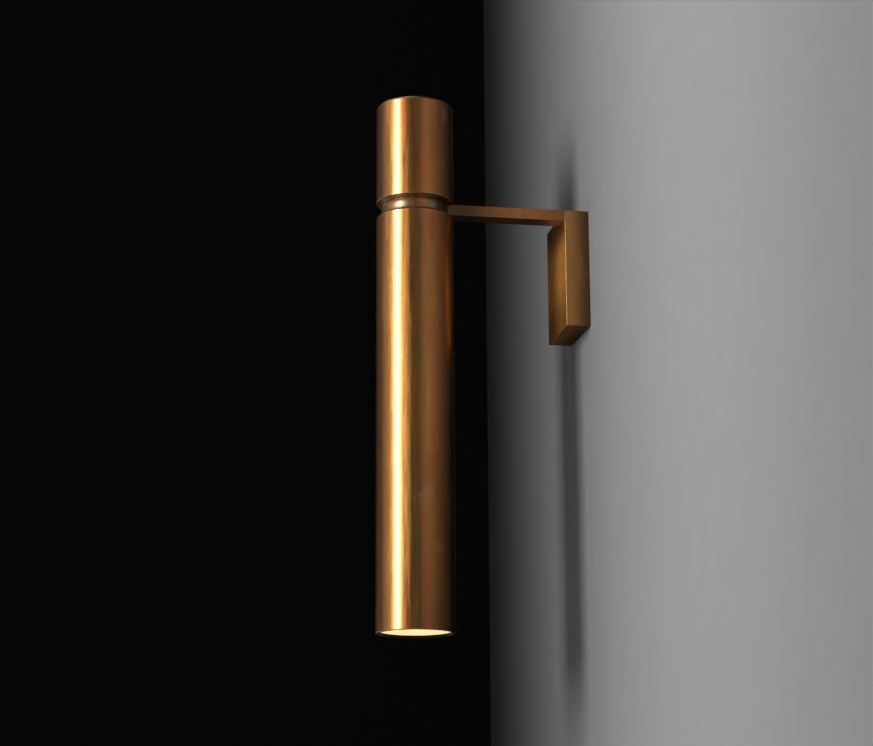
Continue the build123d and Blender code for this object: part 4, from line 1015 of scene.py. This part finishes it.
@dataclass
class NeckBand:
    """The band between the tubes, with the boss that the arm meets and the prongs inside the arm."""

    crown_radius: float = 26.6 * MILLIMETRE
    crown_bend: float = 11.0 * MILLIMETRE
    shoulder_radius: float = 25.2 * MILLIMETRE
    shoulder_bend: float = 0.8 * MILLIMETRE
    throat_radius: float = 23.4 * MILLIMETRE
    bead_height: float = 8.3 * MILLIMETRE
    lip_radius: float = 27.4 * MILLIMETRE
    lip_edge: float = 0.3 * MILLIMETRE
    turned_bend: float = 0.2 * MILLIMETRE
    seat_clearance: float = 0.15 * MILLIMETRE
    bore_radius: float = 12.02 * MILLIMETRE
    seat_radius: float = 14.52 * MILLIMETRE
    seat_depth: float = 1.5 * MILLIMETRE
    boss_edge_radius: float = 0.3 * MILLIMETRE
    boss_root: float = 15.0 * MILLIMETRE
    prong_inner: float = 2.3 * MILLIMETRE
    prong_outer: float = 6.45 * MILLIMETRE
    prong_half_height: float = 2.7 * MILLIMETRE
    prong_edge_radius: float = 0.4 * MILLIMETRE
    segments: int = 256
    block_rows: int = 7

    def band(self, low: Vector, high: Vector, centre: Vector) -> bpy.types.Object:
        """The turned band, with its bore and the seat of the spindle's flange.

        Args:
            low: The band's lowest corner.
            high: Its highest corner.
            centre: A point on its axis.

        Returns:
            The piece.
        """
        seat_top = low.z + self.seat_depth
        spacer_low, spacer_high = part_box("neck_spacer")
        spacer_seat = (spacer_high.x - spacer_low.x) / 2 + self.seat_clearance
        lip_top = spacer_high.z - self.seat_clearance
        bead_top = low.z + self.bead_height
        corners = np.array([
            (self.shoulder_radius, low.z), (self.crown_radius, (low.z + bead_top) / 2),
            (self.shoulder_radius, bead_top), (self.throat_radius, bead_top),
            (self.lip_radius, lip_top - self.lip_edge), (self.lip_radius, lip_top), (spacer_seat, lip_top),
            (spacer_seat, high.z), (self.bore_radius, high.z), (self.bore_radius, seat_top),
            (self.seat_radius, seat_top), (self.seat_radius, low.z)])
        bend = self.turned_bend
        radii = np.array([self.shoulder_bend, self.crown_bend, self.shoulder_bend, bend, bend / 2, bend / 4,
                          bend, 0.0, bend, bend, 0.0, bend])
        section = traced_line(corners, radii, True, arc_steps=12, run_steps=8)
        return surface("neck_band", turned_rows(section, centre, self.segments), Ends.JOINED)

    def block(self, name: str, left: float, right: float, bottom: float, top: float,
              ends: tuple[float, float], edge: float) -> bpy.types.Object:
        """A straight block with rounded long edges.

        Args:
            name: The piece's name.
            left: Its lowest x.
            right: Its highest x.
            bottom: Its lowest z.
            top: Its highest z.
            ends: Its two values of y.
            edge: The radius of its long edges.

        Returns:
            The piece.
        """
        corners = np.array([(left, bottom), (right, bottom), (right, top), (left, top)])
        section = traced_line(corners, np.full(4, edge), True, arc_steps=6, run_steps=3)
        return surface(name, carried_rows(section, np.linspace(*ends, self.block_rows)), Ends.FLAT)

    def build(self, shop: PaintShop) -> None:
        """Makes the band, the boss and the prongs, and dresses them.

        Args:
            shop: The paint shop.
        """
        low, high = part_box("neck_collar")
        spindle_low, spindle_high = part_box("hollow_spindle")
        arm_low, arm_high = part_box("arm_bar")
        centre = (spindle_low + spindle_high) / 2
        shop.dress(self.band(low, high, centre), "satin_brass", "bracket", "neck_collar")
        boss = self.block("arm_boss", arm_low.x, arm_high.x, arm_low.z, arm_high.z,
                          (centre.y + self.boss_root, arm_low.y), self.boss_edge_radius)
        shop.dress(boss, "burnished_brass", "bracket", "neck_collar")
        middle_z = (arm_low.z + arm_high.z) / 2
        for name, side in (("far_prong", -1.0), ("near_prong", 1.0)):
            left, right = sorted((centre.x + side * self.prong_inner, centre.x + side * self.prong_outer))
            bottom, top = middle_z - self.prong_half_height, middle_z + self.prong_half_height
            prong = self.block(name, left, right, bottom, top, (arm_low.y, high.y), self.prong_edge_radius)
            shop.dress(prong, "satin_brass", "bracket", "neck_collar")


@dataclass
class PushInCup:
    """A cup pushed into a tube's open end: a face, a skirt, and a groove for a soft ring."""

    name: str
    node: str
    ring: str
    slot: str
    body: str
    inward: float
    face_thickness: float = 2.5 * MILLIMETRE
    skirt_wall: float = 2.6 * MILLIMETRE
    groove_depth: float = 1.3 * MILLIMETRE
    face_radius: float = 0.6 * MILLIMETRE
    groove_bend: float = 0.15 * MILLIMETRE
    skirt_bend: float = 0.3 * MILLIMETRE
    inner_radius: float = 1.0 * MILLIMETRE
    pole_radius: float = 0.15 * MILLIMETRE
    segments: int = 192

    def section(self) -> Array:
        """The cup's outline in (r, z), from the middle of its face round the skirt to its inside.

        Returns:
            The outline's points.
        """
        low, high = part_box(self.node)
        ring_low, ring_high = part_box(self.ring)
        outer = (high.x - low.x) / 2
        face, foot = (low.z, high.z) if self.inward > 0 else (high.z, low.z)
        groove = (ring_low.z, ring_high.z) if self.inward > 0 else (ring_high.z, ring_low.z)
        inner, floor = outer - self.skirt_wall, face + self.inward * self.face_thickness
        bend, pole = self.groove_bend, self.pole_radius
        corners = np.array([
            (pole, face), (outer, face), (outer, groove[0]), (outer - self.groove_depth, groove[0]),
            (outer - self.groove_depth, groove[1]), (outer, groove[1]), (outer, foot), (inner, foot),
            (inner, floor), (pole, floor)])
        radii = np.array([0.0, self.face_radius, bend, bend, bend, bend, self.skirt_bend, self.skirt_bend,
                          self.inner_radius, 0.0])
        return traced_line(corners, radii, False, arc_steps=6, run_steps=12)

    def build(self, shop: PaintShop) -> None:
        """Makes the cup and dresses it.

        Args:
            shop: The paint shop.
        """
        low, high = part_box(self.node)
        rows = turned_rows(self.section(), (low + high) / 2, self.segments)
        shop.dress(surface(self.name, rows, Ends.POLES), self.slot, self.body, self.node)


@dataclass
class Lamp:
    """One soft box of the studio."""

    name: str
    place: Triple
    aim: Triple
    width: float
    height: float
    power: float

    def build(self) -> None:
        """Makes the lamp, unseen by the camera itself."""
        light = bpy.data.lights.new(self.name, "AREA")
        light.shape = "RECTANGLE"
        light.size, light.size_y = self.width, self.height
        light.energy = self.power
        holder = bpy.data.objects.new(self.name, light)
        holder.location = self.place
        aim = Vector(self.aim) - Vector(self.place)
        holder.rotation_euler = aim.to_track_quat("-Z", "Y").to_euler()
        holder.visible_camera = False
        bpy.context.scene.collection.objects.link(holder)
        log.info("lamp %s", self.name)


@dataclass
class Camera:
    """The camera, where the photograph was taken from."""

    place: Triple = (1.636, -0.398, -0.48125)
    yaw: float = 9.80
    pitch: float = 13.57
    roll: float = -0.26
    focal_pixels: float = 2200.0
    picture_width: float = 873.0
    sensor: float = 36.0

    def build(self) -> None:
        """Makes the camera and sets it as the scene's."""
        yaw, pitch, roll = (math.radians(angle) for angle in (self.yaw, self.pitch, self.roll))
        ahead = Vector((-math.cos(yaw) * math.cos(pitch), math.sin(yaw) * math.cos(pitch), math.sin(pitch)))
        right = ahead.cross(Vector((0.0, 0.0, 1.0))).normalized()
        above = right.cross(ahead)
        turned_right = math.cos(roll) * right + math.sin(roll) * above
        turned_above = math.cos(roll) * above - math.sin(roll) * right
        data = bpy.data.cameras.new("photo_view")
        data.sensor_width = self.sensor
        data.lens = self.focal_pixels * self.sensor / self.picture_width
        camera = bpy.data.objects.new("photo_view", data)
        turn = Matrix((turned_right, turned_above, -ahead)).transposed().to_4x4()
        camera.matrix_world = Matrix.Translation(self.place) @ turn
        bpy.context.scene.collection.objects.link(camera)
        bpy.context.scene.camera = camera
        log.info("camera of %.1f mm", data.lens)


@dataclass
class Studio:
    """The plain studio: a pale floor, a backdrop behind the light with painted light falloff, a dark flag
    beside it, soft lamps.
    """

    floor_height: float = -1.0
    floor_size: float = 9.0
    backdrop_left: float = -0.385
    backdrop_right: float = 3.0
    backdrop_top: float = 2.2
    backdrop_offset: float = 0.6 * MILLIMETRE
    opening_margin: float = 2.0 * MILLIMETRE
    flag_place: float = -1.75
    flag_front: float = -1.1
    flag_back: float = 0.6
    surround: Colour = (0.07, 0.07, 0.072)
    floor_colour: Colour = (0.80, 0.80, 0.79)
    backdrop_colour: Colour = (0.36, 0.36, 0.365)
    flag_colour: Colour = (0.004, 0.004, 0.004)
    mottle: float = 0.97
    mottle_scale: float = 40.0
    mottle_levels: Span = (0.3, 0.7)
    left_start: float = -0.40
    left_start_reflected: float = -0.04
    left_end: float = 0.28
    left_shade: float = 0.03
    right_fall: Span = (0.30, 0.90, 1.0, 0.55)
    foot_fall: Span = (-0.36, 0.0)
    foot_reflected: float = 0.5
    strip_height: float = 0.43

    def painted_falloff(self, graph: Graph, place: Socket) -> Socket:
        """Painted light falloff on the backdrop: darker towards its left and its right and, in reflections,
        towards its foot, with its left darkening sooner in reflections.

        Args:
            graph: The backdrop's graph.
            place: Object coordinates.

        Returns:
            A mask, 1 where the backdrop has its full colour.
        """
        parts = graph.node("SeparateXYZ", {0: place}).outputs
        glossy = graph.node("LightPath").outputs["Is Glossy Ray"]
        # Painted light: the backdrop is darker in reflections, at its left and at its foot.
        start = graph.spread(glossy, 0.0, 1.0, self.left_start, self.left_start_reflected)
        foot = graph.spread(glossy, 0.0, 1.0, 1.0, self.foot_reflected)
        left = graph.spread(parts["X"], start, self.left_end, self.left_shade)
        level = graph.math("MULTIPLY", left, graph.spread(parts["X"], *self.right_fall))
        return graph.math("MULTIPLY", level, graph.spread(parts["Z"], *self.foot_fall, foot))

    def sheet(self, name: str, corners: Array, faces: list[list[int]], colour: Colour,
              backdrop: bool = False) -> None:
        """A flat sheet of the studio in a plain colour.

        Args:
            name: Its name.
            corners: Its corners.
            faces: Its faces, anticlockwise as seen from its front.
            colour: Its colour.
            backdrop: Whether it has painted light falloff towards its sides and is clear from behind.
        """
        mesh = bpy.data.meshes.new(name)
        mesh.from_pydata(corners.tolist(), [], faces)
        made = bpy.data.materials.new(name)
        made.use_nodes = True
        made.node_tree.nodes.clear()
        graph = Graph(made.node_tree)
        place = graph.node("TexCoord").outputs["Object"]
        noise = graph.noise(place, self.mottle_scale, detail=5.0, roughness=0.6)
        shade = graph.mix(graph.spread(noise, *self.mottle_levels),
                          rgba(tuple(self.mottle * part for part in colour)), rgba(colour))
        paint = graph.node("BsdfDiffuse", {"Color": shade})
        if backdrop:
            full = graph.mix(self.painted_falloff(graph, place), (0.0, 0.0, 0.0, 1.0), shade)
            graph.tree.links.new(full, paint.inputs["Color"])
            clear = graph.node("BsdfTransparent").outputs[0]
            behind = graph.node("NewGeometry").outputs["Backfacing"]
            paint = graph.node("MixShader", {0: behind, 1: paint.outputs[0], 2: clear})
        graph.node("OutputMaterial", {"Surface": paint.outputs[0]})
        mesh.materials.append(made)
        piece = bpy.data.objects.new(name, mesh)
        bpy.context.scene.collection.objects.link(piece)
        log.info("stage %s", name)

    def build(self, axis: Triple) -> None:
        """Makes the sheets, the surround and the lamps, and sets how colours are shown.

        Args:
            axis: A point on the tube's axis, where the lamps aim.
        """
        half, low, back = self.floor_size / 2, self.floor_height, self.backdrop_offset
        floor = np.array([(-half, -half, low), (half, -half, low), (half, half, low), (-half, half, low)])
        self.sheet("floor", floor, [[0, 1, 2, 3]], self.floor_colour)
        canopy_low, canopy_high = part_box("wall_canopy")
        left, right = canopy_low.x + self.opening_margin, canopy_high.x - self.opening_margin
        foot, head = canopy_low.z + self.opening_margin, canopy_high.z - self.opening_margin
        top = self.backdrop_top
        corners = np.array([
            (self.backdrop_left, back, low), (self.backdrop_right, back, low),
            (self.backdrop_right, back, top), (self.backdrop_left, back, top),
            (left, back, foot), (right, back, foot), (right, back, head), (left, back, head)])
        self.sheet("backdrop", corners, [[0, 1, 5, 4], [1, 2, 6, 5], [2, 3, 7, 6], [3, 0, 4, 7]],
                   self.backdrop_colour, True)
        flag = np.array([(self.flag_place, self.flag_back, low), (self.flag_place, self.flag_front, low),
                         (self.flag_place, self.flag_front, top), (self.flag_place, self.flag_back, top)])
        self.sheet("side_flag", flag, [[0, 1, 2, 3]], self.flag_colour)
        world = bpy.data.worlds.new("surround")
        world.use_nodes = True
        world.node_tree.nodes["Background"].inputs["Color"].default_value = rgba(self.surround)
        bpy.context.scene.world = world
        strip_aim = (axis[0], axis[1], self.strip_height)
        for lamp in (
            Lamp("strip", (0.977, -1.999, self.strip_height), strip_aim, 0.44, 1.25, 39.0),
            Lamp("panel", (-0.20, -2.30, 0.45), axis, 1.6, 2.2, 3.4),
            Lamp("top_fill", (-0.2, -0.9, 1.9), (-0.2, -0.9, 0.0), 2.2, 1.6, 3.5),
            Lamp("high_fill", (-1.6, -0.3, 1.55), axis, 1.8, 0.9, 1.8),
            Lamp("low_fill", (-1.5, -1.3, -0.6), axis, 0.8, 0.5, 2.0),
        ):
            lamp.build()
        bpy.context.scene.view_settings.view_transform = "Standard"


def main() -> None:
    """Builds the light, piece by piece, and the studio round it."""
    logging.basicConfig(level=logging.INFO, format="%(name)s: %(message)s")
    layout = Layout.measured()
    shop = PaintShop(layout)
    shop.dress_solids()
    ring_low, ring_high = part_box("snap_rings")
    grooves = [ring_low.z + SNAP_RING_RADIUS, ring_high.z - SNAP_RING_RADIUS]
    lower = TubeShell("lower_tube", "light_tube", head_chamfer=0.9 * MILLIMETRE, foot_shade=1.0)
    upper = TubeShell("upper_tube", "bracket", head_chamfer=1.9 * MILLIMETRE, foot_shade=0.25)
    lower.build(shop, grooves)
    upper.build(shop, [])
    NeckBand().build(shop)
    PushInCup("lamp_face", "diffuser", "diffuser_ring", "opal_diffuser", "light_tube", 1.0).build(shop)
    PushInCup("end_cap", "top_cap", "top_cap_ring", "dark_cap", "bracket", -1.0).build(shop)
    Studio().build(layout.axis)
    Camera().build()


if __name__ == "__main__":
    main()
